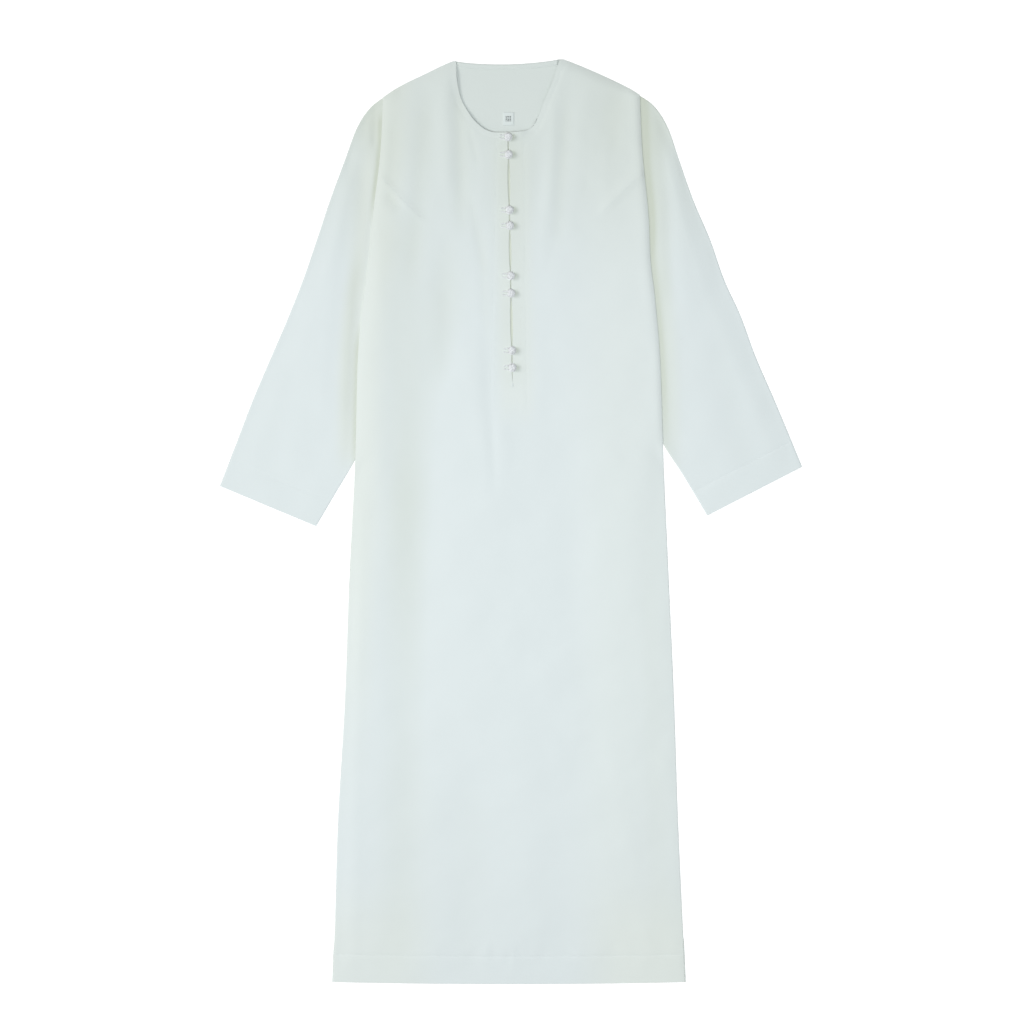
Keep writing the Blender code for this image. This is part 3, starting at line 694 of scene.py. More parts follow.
def front_folds(x, y, away):
    """Folds and waves, faded out near the seams and the hem, and flattened beside the slit."""
    soft = folds_at(FRONT_FOLDS, x, y)
    soft = soft + waves_at(x, y, seed=3, height=0.32, shortest=60, longest=260)
    soft = soft + waves_at(x, y, seed=4, height=0.09, shortest=22, longest=60, lean=0.9)
    beside = rise(np.abs(x - slit_x(y)), *PLACKET_SIDES)
    above = rise(y, *PLACKET_HEIGHTS)
    settle = smooth(away / FOLD_CLEAR) * smooth((y - hem_y(x)) / HEM_CLEAR + HEM_KEEPS)
    return soft * (1 - above * (1 - beside)) * settle


def line_x(line, y):
    """Where a line that runs down the robe is at these heights."""
    return np.interp(y, *np.array(line)[::-1, ::-1].T)


def front_sewing(x, y, away):
    """The relief of everything sewn: hem, placket, neck and yoke."""
    z = band(hem_stitches, x, y, y < hem_y(x) + HEM_DEPTH) * smooth(away / BAND_CLEAR)
    crumple = waves_at(x, y, seed=5, height=HEM_CRUMPLE, shortest=14, longest=50, lean=0.5)
    near_hem = np.exp(-(((y - hem_y(x) - HEM_DEPTH) / CRUMPLE_REACH) ** 2))
    z += crumple * near_hem * smooth(away / CRUMPLE_CLEAR)
    in_box = (x > line_x(PLACKET_LEFT, y)) & (x < line_x(PLACKET_RIGHT, y)) & (y > PLACKET_BOTTOM[1][1])
    z += PLACKET_SHARE * band(placket_stitches, x, y, in_box)
    for side, line in neck_stitches.items():
        z += band(line, x, y, distance_to(neck_edges[side], x, y) < NECK_BAND)
    for side, line in YOKE_LINES.items():
        from_start = np.hypot(x - line[0, 0], y - line[0, 1])
        fade = 1 - smooth((from_start - YOKE_FADE[0]) / (YOKE_FADE[1] - YOKE_FADE[0]))
        ridge = np.exp(-((distance_to(line, x, y) / YOKE_WIDTH[side]) ** 2))
        z += YOKE_RIDGE * fade * ridge * smooth(away / YOKE_CLEAR)
    return z


def front_height(x, y):
    away = np.minimum(distance_to(rolled_edges[-1], x, y), distance_to(rolled_edges[1], x, y))
    floor = lift(x, y)
    height = FRONT_TOP - (FRONT_TOP - HEM_TOP) * (1 - smooth((y + LENGTH / 2) / HEM_SETTLE)) - floor
    by_sleeve = rise(y, *BY_SLEEVE)
    roll = ROLL_BELOW + (np.where(x < 0, ROLL_BY_SLEEVE[-1], ROLL_BY_SLEEVE[1]) - ROLL_BELOW) * by_sleeve
    rolled = np.clip(away / (roll * height), 0, 1)
    height = height - neck_droop(x, y)
    rim_height = RIM_BELOW + (RIM_BY_SLEEVE - RIM_BELOW) * by_sleeve
    rim = SEAM_REST + (rim_height - SEAM_REST) * rounded(away, RIM_WIDTH)
    laid = floor + rim + (height - rim_height) * (1 - (1 - rolled) ** 2)
    return laid + front_folds(x, y, away) + front_sewing(x, y, away)


print("height at mid chest:", round(float(front_height(np.array([60.0]), np.array([400.0]))[0]), 2), "mm")

# %% Places on the front
SPACING = 5.0
EDGE_NEAR = (0, 0.12, 0.45, 1.0, 1.8, 2.9, 4.3, 6.2, 9.0)  # the first columns, from a side seam
SLIT_NEAR = (0, 0.5, 1.4, 2.8, 4.5, 7, 10, 13, 16, 19, 22, 25, 28, 31, 34)  # the last ones, from the slit
HEM_NEAR = (0, 0.5, 1.4, 3.5, 7, 12, 18, 25, 32)
NECK_NEAR = (0, 0.3, 0.9, 1.8, 2.9, 4.3)
STITCH_NEAR = (-3.2, -1.9, -0.9, 0, 0.9, 1.9, 3.2)  # each side of a row of stitches
SLIT_LEAST, SLIT_GAPE = 0.75, 1.05  # half the slit's width at a button, and what it gains between two
BUTTON_HOLD, BUTTON_RAMP = 5, 26
SLIT_EASE = 14  # the gape pushes the cloth aside this far from the slit


def slit_half_width(y):
    """The slit gapes between the pairs of buttons, is held closer at them, and closes at its end."""
    y = np.asarray(y, float)
    from_button = np.min(np.abs(y[..., None] - np.array(BUTTON_ROWS)), axis=-1)
    half = SLIT_LEAST + SLIT_GAPE * smooth((from_button - BUTTON_HOLD) / BUTTON_RAMP)
    return half * smooth((y - SLIT_END[1]) / BUTTON_RAMP)


ACROSS, UPPER_ROWS = 40, 61  # squares of the rough grid, across a half and from the slit's end up
LOWER_STEP = 1.4 * SPACING
HELD_ROWS, RELAX_ROUNDS = 90, 400  # this many rows from the hem stay straight
BOW_FULL, BOW_RAMP = 40, 60  # the rows follow the hem's bow up to this height, and then straighten


def half_front(side):
    """A rough grid of places on one half of the front, and the number of its row at the slit's end."""
    share = np.linspace(0, 1, ACROSS + 1)
    slit_row = len(np.arange(-LENGTH / 2, SLIT_END[1] - 1, LOWER_STEP)) - 1
    lower_ys = np.linspace(-LENGTH / 2, SLIT_END[1], slit_row + 1)
    edge_x, middle_x = body_edge(side, lower_ys), slit_x(lower_ys)
    xs = edge_x[:, None] + (middle_x - edge_x)[:, None] * share[None]
    straight = smooth((BOW_FULL + BOW_RAMP - (lower_ys + LENGTH / 2)) / BOW_RAMP)
    bow = straight[:, None] * (hem_y(xs) + LENGTH / 2)
    lower = np.stack([xs, lower_ys[:, None] + bow], axis=-1)

    top = spread(np.vstack([flowing(SHOULDERS[side]), flowing(NECKLINES[side])[1:]]), share)
    upper_shares = np.linspace(0, 1, UPPER_ROWS + 1)
    side_ys = SLIT_END[1] + upper_shares * (top[0, 1] - SLIT_END[1])
    middle_ys = SLIT_END[1] + upper_shares * (top[-1, 1] - SLIT_END[1])
    side_line = np.column_stack([body_edge(side, side_ys), side_ys])
    side_line[-1] = top[0]
    middle_line = np.column_stack([slit_x(middle_ys), middle_ys])
    upper = patch_between(lower[-1], top, side_line, middle_line)
    places = np.vstack([lower[:-1], upper])
    places[HELD_ROWS:] = relax(places[HELD_ROWS:], RELAX_ROUNDS)
    return places, slit_row


def front_surface(side):
    """One half of the front, with rows and columns close together at its edges and stitches."""
    places, slit_row = half_front(side)
    lower_length, upper_length = SLIT_END[1] + LENGTH / 2, SHOULDERS[side][0][1] - SLIT_END[1]
    hem_near = (*HEM_NEAR, *(HEM_DEPTH + d for d in STITCH_NEAR))
    neck_near = (*NECK_NEAR, *(NECK_BAND + d for d in STITCH_NEAR[1:]))
    lower_mm = lower_length / slit_row
    upper_mm = upper_length / (places.shape[0] - 1 - slit_row)
    column_mm = abs(body_edge(side, 0.0) - slit_x(0.0)) / ACROSS
    lower = graded(hem_near, SPACING, lower_length, (0,)) / lower_mm
    upper = graded((0,), SPACING * 0.9, upper_length, neck_near) / upper_mm
    rows = np.concatenate([lower[:-1], slit_row + upper])
    columns = graded(EDGE_NEAR, SPACING, column_mm * ACROSS, SLIT_NEAR) / column_mm
    flat = sample(places, rows, columns)
    x, y = flat[..., 0], flat[..., 1]
    from_slit = side * (x - slit_x(y))
    x = x + side * slit_half_width(y) * smooth(1 - from_slit / SLIT_EASE)
    surface = np.stack([x, y, front_height(x, y)], axis=-1)
    return surface if side < 0 else surface[:, ::-1]


halves = [front_surface(-1), front_surface(1)]
print("front:", [h.shape[:2] for h in halves], "places")

# %% Make the front
front = piece_from(sheet_mesh(*halves), "front", cloth_finish, "front_panel", wall=0.8)

FULL_TROUGH, TROUGH_SHADE = 3, 0.25  # a trough this deep gets this much painted shade
VALLEY_SHADE, VALLEY_X, VALLEY_WIDTH = 0.24, -167, 34  # painted shade along a valley beside the right armhole, where the cloth sags
VALLEY_TOP, VALLEY_BOTTOM = (500, 410), (-300, 0)
# painted shade along both sides of the slit
SLIT_SHADE, SLIT_SPREAD, SLIT_LOW, SLIT_HIGH = 0.2, 22, (190, 230), (600, 570)
KNOT_SHADE, KNOT_SHADE_X, KNOT_SHADE_SIZE = 0.75, 7.3, 4.2  # painted shadow beside each knot, on its side away from the window lamp


def front_hollows(x, y, z):
    """Painted shade near the shoulders, a little in the troughs, along the valley by the armhole, and beside
    the slit and its knots.
    """
    from_slit = x - slit_x(y)
    by_knots = sum(
        np.exp(-(((x - slit_x(row) - KNOT_SHADE_X) ** 2 + (y - row) ** 2) / KNOT_SHADE_SIZE**2))
        for row in BUTTON_ROWS
    )
    troughs = np.maximum(-folds_at(FRONT_FOLDS, x, y), 0) / FULL_TROUGH
    valley = np.exp(-(((x - VALLEY_X) / VALLEY_WIDTH) ** 2)) * rise(y, *VALLEY_TOP) * rise(y, *VALLEY_BOTTOM)
    by_slit = np.exp(-((from_slit / SLIT_SPREAD) ** 2)) * rise(y, *SLIT_LOW) * rise(y, *SLIT_HIGH)
    shades = TROUGH_SHADE * troughs + KNOT_SHADE * by_knots + VALLEY_SHADE * valley + SLIT_SHADE * by_slit
    return yoke_painted_shade(x, y, z) + shades


# shares and places of the painted warmer light on the front
SIDE_WARMTH, SIDE_FROM_SEAM, SIDE_HEIGHTS = 0.35, (55, 15), (-500, 0)
LEFT_WARMTH, LEFT_X = 0.14, (70, 160)
PLACKET_WARMTH, WARM_SIDES, WARM_LOW, WARM_HIGH = 0.22, (36, 14), (130, 190), (600, 540)
WARM_MIDDLE = 6  # the strip beneath lies further to the left
HEM_WARMTH, HEM_FROM_MIDDLE, HEM_HEIGHTS = 0.25, (90, 180), (-520, -640)


def front_warmth(x, y, z):
    """Painted warmer light: by the seam, beside the placket and at the hem's corners, where more than two
    layers lie on each other, and towards the wearer's left.
    """
    by_seam = SIDE_WARMTH * rise(x - body_edge(-1, y), *SIDE_FROM_SEAM) * rise(y, *SIDE_HEIGHTS)
    to_left = LEFT_WARMTH * rise(x, *LEFT_X)
    by_slit = PLACKET_WARMTH * rise(np.abs(x - slit_x(y) - WARM_MIDDLE), *WARM_SIDES)
    by_slit = by_slit * rise(y, *WARM_LOW) * rise(y, *WARM_HIGH)
    corners = HEM_WARMTH * rise(np.abs(x), *HEM_FROM_MIDDLE) * rise(y, *HEM_HEIGHTS)
    return by_seam + to_left + by_slit + corners


# painted shade and painted warmer light on the front
mark(front, hollow=front_hollows, warm=front_warmth)
print(front.name, len(front.data.polygons), "faces")

# %% [markdown]
# ## The back
# The back is the plain sheet underneath. It shows inside the neck and from below, so it gets the
# same cut, its own yoke seam and hem, and shallower folds, because it lies flat on the table. It
# could be the front's grid copied, but it has no slit, so a plain grid between its edges does. Where
# a sleeve's underarm is tucked beneath, the cloth is lifted by the sleeve's two layers.

# %% Make the back
BACK_TOP, BACK_WALL = 1.0, 0.55
BACK_THINNING, BACK_PRESSED = 0.4, 5  # it is pressed flat where it is sewn to the front, over this width
BACK_INSET = 1.1  # room for the front's wall at the seams
MOUTH_GAP = 0.3  # and for the sleeve's at the armhole
BACK_NECK_DIP = 6.5
ARMHOLES = {side: (np.array(rows[-1][2:4]), np.array(rows[-1][0:2])) for side, rows in SLEEVE_ROWS.items()}


def back_edge(side, y):
    under, over = ARMHOLES[side]
    mouth = under[0] + (over[0] - under[0]) * (y - under[1]) / (over[1] - under[1])
    seam = body_edge(side, y) - side * BACK_INSET
    tucked = smooth((y - UNDERARM_Y + LIFT_RAMP) / LIFT_RAMP)
    return seam + (mouth - side * MOUTH_GAP - seam) * tucked


def back_top_y(x):
    neck_right, neck_left = np.array(SHOULDERS[-1][-1]), np.array(SHOULDERS[1][-1])
    t = np.clip((x - neck_right[0]) / (neck_left[0] - neck_right[0]), 0, 1)
    neck = neck_right[1] + (neck_left[1] - neck_right[1]) * t - BACK_NECK_DIP * np.sin(np.pi * t) ** 0.7
    right, left = flowing(SHOULDERS[-1]), flowing(SHOULDERS[1])[::-1]
    shoulder = np.where(x < 0, np.interp(x, *right.T), np.interp(x, *left.T))
    return np.where((x > neck_right[0]) & (x < neck_left[0]), neck, shoulder) - BACK_INSET


BACK_FOLDS = (
    Fold(-150, 560, -172, 300, 16, -0.35),
    Fold(-96, 600, -84, 380, 14, 0.4),
    Fold(120, 590, 138, 330, 15, -0.35),
    Fold(70, 420, 52, 120, 20, 0.35),
    Fold(-40, 280, -64, -120, 26, -0.3),
    Fold(-176, 90, -190, -520, 24, 0.4),
    Fold(168, 60, 184, -470, 26, -0.3),
    Fold(96, -160, 110, -640, 30, 0.35),
    Fold(-70, -300, -52, -660, 26, 0.3),
)
BACK_YOKE = flowing(((-200, 528), (-120, 521), (0, 516), (120, 522), (200, 530)))
BACK_YOKE_Y = 520  # above this the back is double
BACK_SEWN = 0.5  # lying flat, its stitches are pressed half as deep


def back_height(x, y):
    raised = lift(x, y) * smooth((UNDERARM_Y + LIFT_RAMP - y) / LIFT_RAMP)
    edge = np.minimum(np.abs(x - back_edge(-1, y)), np.abs(x - back_edge(1, y)))
    edge = np.minimum(edge, np.abs(y - back_top_y(x)))
    soft = waves_at(x, y, seed=7, height=0.07, shortest=50, longest=180) + folds_at(BACK_FOLDS, x, y)
    sewn = BACK_SEWN * band(hem_stitches, x, y, y < hem_y(x) + HEM_DEPTH)
    sewn += BACK_SEWN * band(BACK_YOKE, x, y, y > BACK_YOKE_Y)
    pressed = BACK_THINNING * (1 - smooth(edge / BACK_PRESSED))
    return BACK_TOP + raised - sewn + soft * smooth(edge / FOLD_CLEAR) - pressed


BACK_HEM_GAP = 1.0  # the back ends this far inside the front's hem


def back_surface():
    """A few rounds settle the grid: how wide a row is depends on its height, and the other way round."""
    rows = np.concatenate([[0, 0.002], np.linspace(0.012, 0.97, 130), [0.98, 0.988, 0.994, 0.998, 1]])
    columns = np.concatenate([[0, 0.002], np.linspace(0.008, 0.992, 74), [0.998, 1]])
    y = np.repeat(-LENGTH / 2 + rows[:, None] * (LENGTH - 10), len(columns), axis=1)
    for _ in range(3):
        right, left = back_edge(-1, y), back_edge(1, y)
        x = right + (left - right) * columns[None]
        bottom = hem_y(x) + BACK_HEM_GAP
        y = bottom + (back_top_y(x) - bottom) * rows[:, None]
    return np.stack([x, y, back_height(x, y)], axis=-1)


back = piece_from(sheet_mesh(back_surface()), "back", cloth_finish, "back_panel", wall=BACK_WALL)
# painted shade near the shoulders
mark(back, hollow=yoke_painted_shade)
print(back.name, len(back.data.polygons), "faces")

# %% [markdown]
# ## The sleeves
# Each sleeve is a wide tube pressed flat, with its upper fold along the outside and its seam below.
# Two flat sheets would do for a view from above, but their edges would be sharp, so the grid is laid
# round the tube, over the top and back beneath, and welded into a ring. The tube is a little puffed,
# so its folded edge is round and catches the light, and it sinks where it goes under the body. The
# cuff is turned in by 42 mm, so the cloth is double there.

# %% Make the sleeves
SLEEVE_FLAT, SLEEVE_WALL = 2.3, 0.6
FOLD_ROUND = 8.0  # the top of the tube curves down to its fold over this distance
EDGE_ROUND, UNDER_ROUND = 2.4, 1.3  # the fold's own edge is round, more above than below
STATIONS = 150
TOP_POINTS, UNDER_POINTS = 46, 30
RING_NEAR = (0, 0.1, 0.4, 1.0, 1.9, 3.2, 5.0, 7.4)  # the first points from a fold, on top
UNDER_NEAR = (0, 0.25, 0.7, 1.3, 4)  # and beneath
CLEAR_START, CLEAR_RAMP = 1.5, {-1: 18.0, 1: 26.0}  # the sleeve rises this far outside the body's edge
CROWN_RAMP, FOLD_RAMP, CUFF_RAMP = 40, 14, 5  # how far from the edges the puff, folds and cuff's row are full
TUCK_WIDTH, TUCK_START, TUCK_RAMP = 9, 7, 9  # narrow folds are tucks, which begin nearer to both edges
UNDER_REST, UNDER_UNEVEN, UNDER_RAMP = 0.28, 0.16, 12  # the underside has faint folds, none below the table
MOUTH_END, MOUTH_LIFT, MOUTH_SPREAD = (199, 349), 0.65, 30  # the mouth's lower end, hidden beneath the body
LEAST_TOP = 2 * SLEEVE_WALL + 0.05  # the upper side never sinks into the lower


def sleeve_relief(side, x, y, crown, edge_away):
    """What the upper side has on top of its flat height: the puff, waves, folds, tucks and the cuff's row."""
    outside = side * (x - body_edge(side, y)) - CLEAR_START
    folds = folds_at(SLEEVE_FOLDS[side], x, y)
    tucks = folds_at([f for f in SLEEVE_FOLDS[side] if f.half_width < TUCK_WIDTH], x, y)
    seed = {-1: 11, 1: 12}[side]
    soft = folds + waves_at(x, y, seed=seed, height=0.22, shortest=50, longest=200, lean=0.8)
    soft += crown * smooth(edge_away / CROWN_RAMP)
    cuff = cuff_stitches[side]
    along = cuff[-1] - cuff[0]
    toward_cuff = ((x - cuff[0, 0]) * along[1] - (y - cuff[0, 1]) * along[0]) * side < 0
    sewn = band(cuff, x, y, toward_cuff) * smooth(edge_away / CUFF_RAMP)
    laid = (soft - tucks) * smooth(outside / CLEAR_RAMP[side]) * smooth(edge_away / FOLD_RAMP)
    return laid + tucks * smooth(outside / TUCK_START) * smooth(edge_away / TUCK_RAMP) + sewn


def ring_places(outer, under, near, points):
    """Places across the tube, and how far each is from the nearer of its two edges."""
    width = np.linalg.norm(under - outer)
    inner = np.linspace(near[-1], width - near[-1], points)[1:-1]
    across = np.concatenate([near, inner, width - np.array(near)[::-1]])
    places = outer + (under - outer) / width * across[:, None]
    return places[:, 0], places[:, 1], np.minimum(across, width - across)


def upper_side(side, outer, under, crown):
    x, y, away = ring_places(outer, under, RING_NEAR, TOP_POINTS)
    relief = np.maximum(sleeve_relief(side, x, y, crown, away), LEAST_TOP - SLEEVE_FLAT)
    half = SLEEVE_FLAT / 2
    z = half + (SLEEVE_FLAT - half) * rounded(away, EDGE_ROUND) + relief * rounded(away, FOLD_ROUND)
    return np.column_stack([x, y, z])


def under_side(side, outer, under, crown):
    x, y, away = ring_places(outer, under, UNDER_NEAR, UNDER_POINTS)
    z = SLEEVE_FLAT / 2 * (1 - rounded(away, UNDER_ROUND))
    waves = waves_at(x, y, seed=15 + side, height=UNDER_UNEVEN, shortest=40, longest=150, lean=0.8)
    room = SLEEVE_FLAT + sleeve_relief(side, x, y, crown, away) - LEAST_TOP
    z += np.clip(np.minimum(UNDER_REST + waves, room), 0, None) * smooth(away / UNDER_RAMP)
    from_mouth = np.hypot(x - side * MOUTH_END[0], y - MOUTH_END[1])
    z += MOUTH_LIFT * (1 - smooth(from_mouth / MOUTH_SPREAD))
    return np.column_stack([x, y, z])


def sleeve_surface(side):
    """A row of points round the tube for each station, from the cuff to the armhole."""
    rows = flowing(SLEEVE_ROWS[side], 40)
    mid = (rows[:, 0:2] + rows[:, 2:4]) / 2
    run = np.concatenate([[0], np.cumsum(np.linalg.norm(np.diff(mid, axis=0), axis=1))])
    cuff_near = (0, 0.4, 1.2, 3, *HEM_NEAR[4:], *(HEM_DEPTH + d for d in STITCH_NEAR))
    at = graded(cuff_near, run[-1] / STATIONS, run[-1], (0,))
    rings = []
    for row in np.column_stack([np.interp(at, run, rows[:, k]) for k in range(5)]):
        outer, under, crown = row[0:2], row[2:4], row[4]
        top, below = upper_side(side, outer, under, crown), under_side(side, outer, under, crown)
        rings.append(np.vstack([top, below[::-1][1:]]))
    return np.array(rings)


Band = namedtuple("Band", "high low offset width depth")
PAINTED_SHADOW_BANDS = {  # painted shadow beside the body: the heights it runs between, how far out it lies, its width and depth
    -1: (
        Band(625, 440, 2.0, 3.4, 1.0),
        Band(310, 40, 1.0, 4.5, 0.8),
        Band(430, 60, 18.0, 10.0, 0.28),
    ),
    1: (
        Band(680, 380, 4.0, 8.0, 0.85),
        Band(520, 20, 3.0, 7.0, 0.75),
        Band(620, 300, 18.0, 13.0, 0.2),
        Band(430, 20, 15.0, 12.0, 0.3),
    ),
}
BAND_TOP_FADE, BAND_LOW_FADE = 0.2, 0.4  # shares of its length over which a band fades out
SLEEVE_TROUGH_SHADE = 0.15
CAP_SHADE, CAP_HEIGHTS = 0.22, (540, 610)  # the sleeve's cap turns away from the lamps
# shares, reach and heights of the painted warmer light beside the body
SEAM_WARMTH, SEAM_REACH, SEAM_HEIGHTS = {-1: 0.35, 1: 0.12}, (38, 12), (60, 120)


def sleeve_hollows(side, x, y, z):
    """Painted shade, on top only: shadow bands beside the body, a little in the troughs, the yoke's height
    and the cap.
    """
    away = side * (x - body_edge(side, y))
    beside = np.zeros(np.shape(x))
    for row in PAINTED_SHADOW_BANDS[side]:
        length = row.high - row.low
        along = smooth((row.high - y) / (BAND_TOP_FADE * length))
        along = along * smooth((y - row.low) / (BAND_LOW_FADE * length))
        across = np.exp(-(((np.maximum(away, 0) - row.offset) / row.width) ** 2))
        beside += row.depth * across * along
    trough = np.maximum(-folds_at(SLEEVE_FOLDS[side], x, y), 0) / FULL_TROUGH
    cap = CAP_SHADE * rise(y, *CAP_HEIGHTS)
    return (beside + SLEEVE_TROUGH_SHADE * trough + yoke_painted_shade(x, y, z) + cap) * (z > SLEEVE_FLAT / 2)


def sleeve_warmth(side, x, y, z):
    """Painted warmer light beside the body, where the sleeve's own seam and the body's lie beneath."""
    away = side * (x - body_edge(side, y))
    return SEAM_WARMTH[side] * rise(away, *SEAM_REACH) * rise(y, *SEAM_HEIGHTS) * (z > SLEEVE_FLAT / 2)


sleeves = {}
for side, name in ((-1, "right"), (1, "left")):
    bm = sheet_mesh(sleeve_surface(side))
    bmesh.ops.recalc_face_normals(bm, faces=bm.faces)
    finish, node = sleeve_finishes[side], f"sleeve_{name}"
    sleeves[side] = piece_from(bm, f"{name}_sleeve", finish, node, wall=SLEEVE_WALL)
    # painted shade and painted warmer light on each sleeve's upper side
    shades = {"hollow": sleeve_hollows, "warm": sleeve_warmth}
    mark(sleeves[side], **{shade: functools.partial(amount_at, side) for shade, amount_at in shades.items()})
    print(sleeves[side].name, len(sleeves[side].data.polygons), "faces")

# %% [markdown]
# ## The strip behind the slit, the neck facing and the label
# Three small pieces finish the neck: a strip behind the slit, so that no skin shows between the
# buttons, a narrow band that hides the raw edge of the back neck, and a folded label below it. They
# hardly bend, so each is one sheet between straight or slightly curved edges, and only its rim turns
# down. The label carries only rows of plain bars, where a real one has its maker's print.

# %% Make the underlap
underlap_low, underlap_high = (np.array(corner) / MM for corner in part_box("placket_underlap"))
UNDERLAP_EDGE, UNDERLAP_RAMP = 0.35, 2.0  # how far its long edges turn down, and over what width


def strip_surface(xs, ys, height):
    x, y = np.meshgrid(xs, ys)
    return np.stack([x, y, height(x, y)], axis=-1)


def underlap_height(x, y):
    edge = np.minimum(x - underlap_low[0], underlap_high[0] - x)
    turned = UNDERLAP_EDGE * (1 - smooth(edge / UNDERLAP_RAMP))
    return underlap_high[2] - turned + waves_at(x, y, seed=21, height=0.06, shortest=30, longest=90)


underlap_xs = np.linspace(underlap_low[0], underlap_high[0], 18)
underlap_ys = np.linspace(underlap_low[1], underlap_high[1], 90)
surface = strip_surface(underlap_xs, underlap_ys, underlap_height)
underlap = piece_from(sheet_mesh(surface), "underlap", underlap_finish, "placket_underlap", wall=0.7)
print(underlap.name, len(underlap.data.polygons), "faces")

# %% Make the neck facing
FACING_WIDTH, FACING_TOP = 7.5, 2.0
FACING_GAP, FACING_SEAM = 0.6, 5.9  # the band stands back from the neck's edge and is sewn this far down it
FACING_END = 3  # it stops this far from the neck points
FACING_EDGE, FACING_RAMP, FACING_GROOVE = 0.5, 1.2, 0.15  # its edges turn down, its row is pressed in
FACING_ROWS = (0, 0.2, 0.6, 1.3, 2.6, 4.2, 5.6, 6.2, 6.9, 7.3, FACING_WIDTH)
facing_x = np.linspace(SHOULDERS[-1][-1][0] + FACING_END, SHOULDERS[1][-1][0] - FACING_END, 60)
rows = []
for down in FACING_ROWS:
    turned = FACING_EDGE * (1 - smooth(min(down, FACING_WIDTH - down) / FACING_RAMP))
    z = FACING_TOP - turned - FACING_GROOVE * math.exp(-((down - FACING_SEAM) ** 2))
    ys = back_top_y(facing_x) - FACING_GAP - down
    rows.append(np.column_stack([facing_x, ys, np.full(len(ys), z)]))
facing = piece_from(sheet_mesh(np.array(rows[::-1])), "neck_band", cloth_finish, "neck_facing", wall=0.6)
# painted shade near the shoulders, as on the back
mark(facing, hollow=yoke_painted_shade)
print(facing.name, len(facing.data.polygons), "faces")

# %% Make the label
label_low, label_high = (np.array(corner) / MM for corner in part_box("neck_label"))
LABEL_TOP, LABEL_CURL = 1.75, 0.12
LABEL_EDGE, LABEL_RAMP = 0.4, 0.9  # its rim turns down too
LABEL_NEAR, LABEL_STEP = (0, 0.25, 0.6, 1.0), 1.2


def label_height(x, y):
    edges = (x - label_low[0], label_high[0] - x, y - label_low[1], label_high[1] - y)
    turned = LABEL_EDGE * (1 - smooth(np.minimum.reduce(edges) / LABEL_RAMP))
    curl = LABEL_CURL * np.sin((x - label_low[0]) / (label_high[0] - label_low[0]) * np.pi)
    return LABEL_TOP - turned + curl


label_xs, label_ys = (
    graded(LABEL_NEAR, LABEL_STEP, label_high[k] - label_low[k], LABEL_NEAR) + label_low[k] for k in range(2)
)
surface = strip_surface(label_xs, label_ys, label_height)
label = piece_from(sheet_mesh(surface), "label", label_finish, "neck_label", slot="label", wall=0.5)

PRINT_ROWS = {3.4: (1.5, 3.2, 2.0), 1.2: (3.0, 1.4, 2.6), -1.0: (2.2, 2.2, 2.4), -3.2: (1.2, 4.0, 1.6)}
BAR_HEIGHT, BAR_GAP = 1.1, 0.8
INK, INK_GAP = 0.12, 0.01  # how thick the ink is, and a hair of room above the label's curl
bm = bmesh.new()
label_middle = (label_low + label_high) / 2
for row_y, bars in PRINT_ROWS.items():
    x = label_middle[0] - (sum(bars) + BAR_GAP * (len(bars) - 1)) / 2
    for bar in bars:
        size = Matrix.Diagonal((bar, BAR_HEIGHT, INK, 1))
        place = Matrix.Translation((x + bar / 2, label_middle[1] + row_y, LABEL_TOP + INK + INK_GAP))
        bmesh.ops.create_cube(bm, size=1, matrix=Matrix.Scale(MM, 4) @ place @ size)
        x += bar + BAR_GAP
label_print = piece_from(bm, "label_print", print_finish, slot="label")
print("bars on the label:", sum(len(bars) for bars in PRINT_ROWS.values()))

# %% [markdown]
# ## Knotted buttons and their loops
# The robe closes with eight knots tied in cord, in four pairs, each held by a loop of the same cord
# round its foot. A ball with a bumpy finish would pass from afar, but close up the crossings show, so
# the knot is tied. It is a Turk's head: one cord that goes three times round a ball while it swings
# up and down four times, and lies alternately over and under itself. Written as a formula, the
# height above the ball follows the sine of twice the swing, which puts it over at one crossing and
# under at the next. The cord is doubled, as such knots often are.

# %% Cord tools
def tube_from(paths, radius, sides=8, closed=False):
    """A bmesh of round tubes along paths of points in millimetres, made as a curve with a bevel."""
    curve = bpy.data.curves.new("cord", "CURVE")
    curve.dimensions = "3D"
    curve.bevel_depth = radius * MM
    curve.bevel_resolution = sides // 2 - 2
    curve.use_fill_caps = True
    curve.twist_mode = "MINIMUM"
    for path in paths:
        spline = curve.splines.new("POLY")
        spline.points.add(len(path) - 1)
        spline.use_cyclic_u = closed
        for point, place in zip(spline.points, path):
            point.co = (*(Vector(place) * MM), 1)
    holder = bpy.data.objects.new("cord", curve)
    mesh = bpy.data.meshes.new_from_object(holder)
    bm = bmesh.new()
    bm.from_mesh(mesh)
    bpy.data.objects.remove(holder)
    bpy.data.curves.remove(curve)
    bpy.data.meshes.remove(mesh)
    return bm


CORD_LIGHT, CORD_DARK = (0.845, 0.84, 0.84), (0.77, 0.765, 0.77)
CORD_PATCH, CORD_RIB = 1.6 * MM, 0.45 * MM
cord_finish, tree, shader = new_finish("knot cord", (0.80, 0.796, 0.795), 0.75, 0.3)
place = tree.nodes.new("ShaderNodeTexCoord")
tone(tree, place.outputs["Object"], shader, CORD_LIGHT, CORD_DARK, CORD_PATCH)
ribs = tree.nodes.new("ShaderNodeTexVoronoi")
ribs.inputs["Scale"].default_value = 1 / CORD_RIB
tree.links.new(place.outputs["Object"], ribs.inputs["Vector"])
bump = tree.nodes.new("ShaderNodeBump")
bump.inputs["Strength"].default_value = 0.5
bump.inputs["Distance"].default_value = 0.15 * MM
tree.links.new(ribs.outputs["Distance"], bump.inputs["Height"])
tree.links.new(bump.outputs["Normal"], shader.inputs["Normal"])
print("cord finish ready")

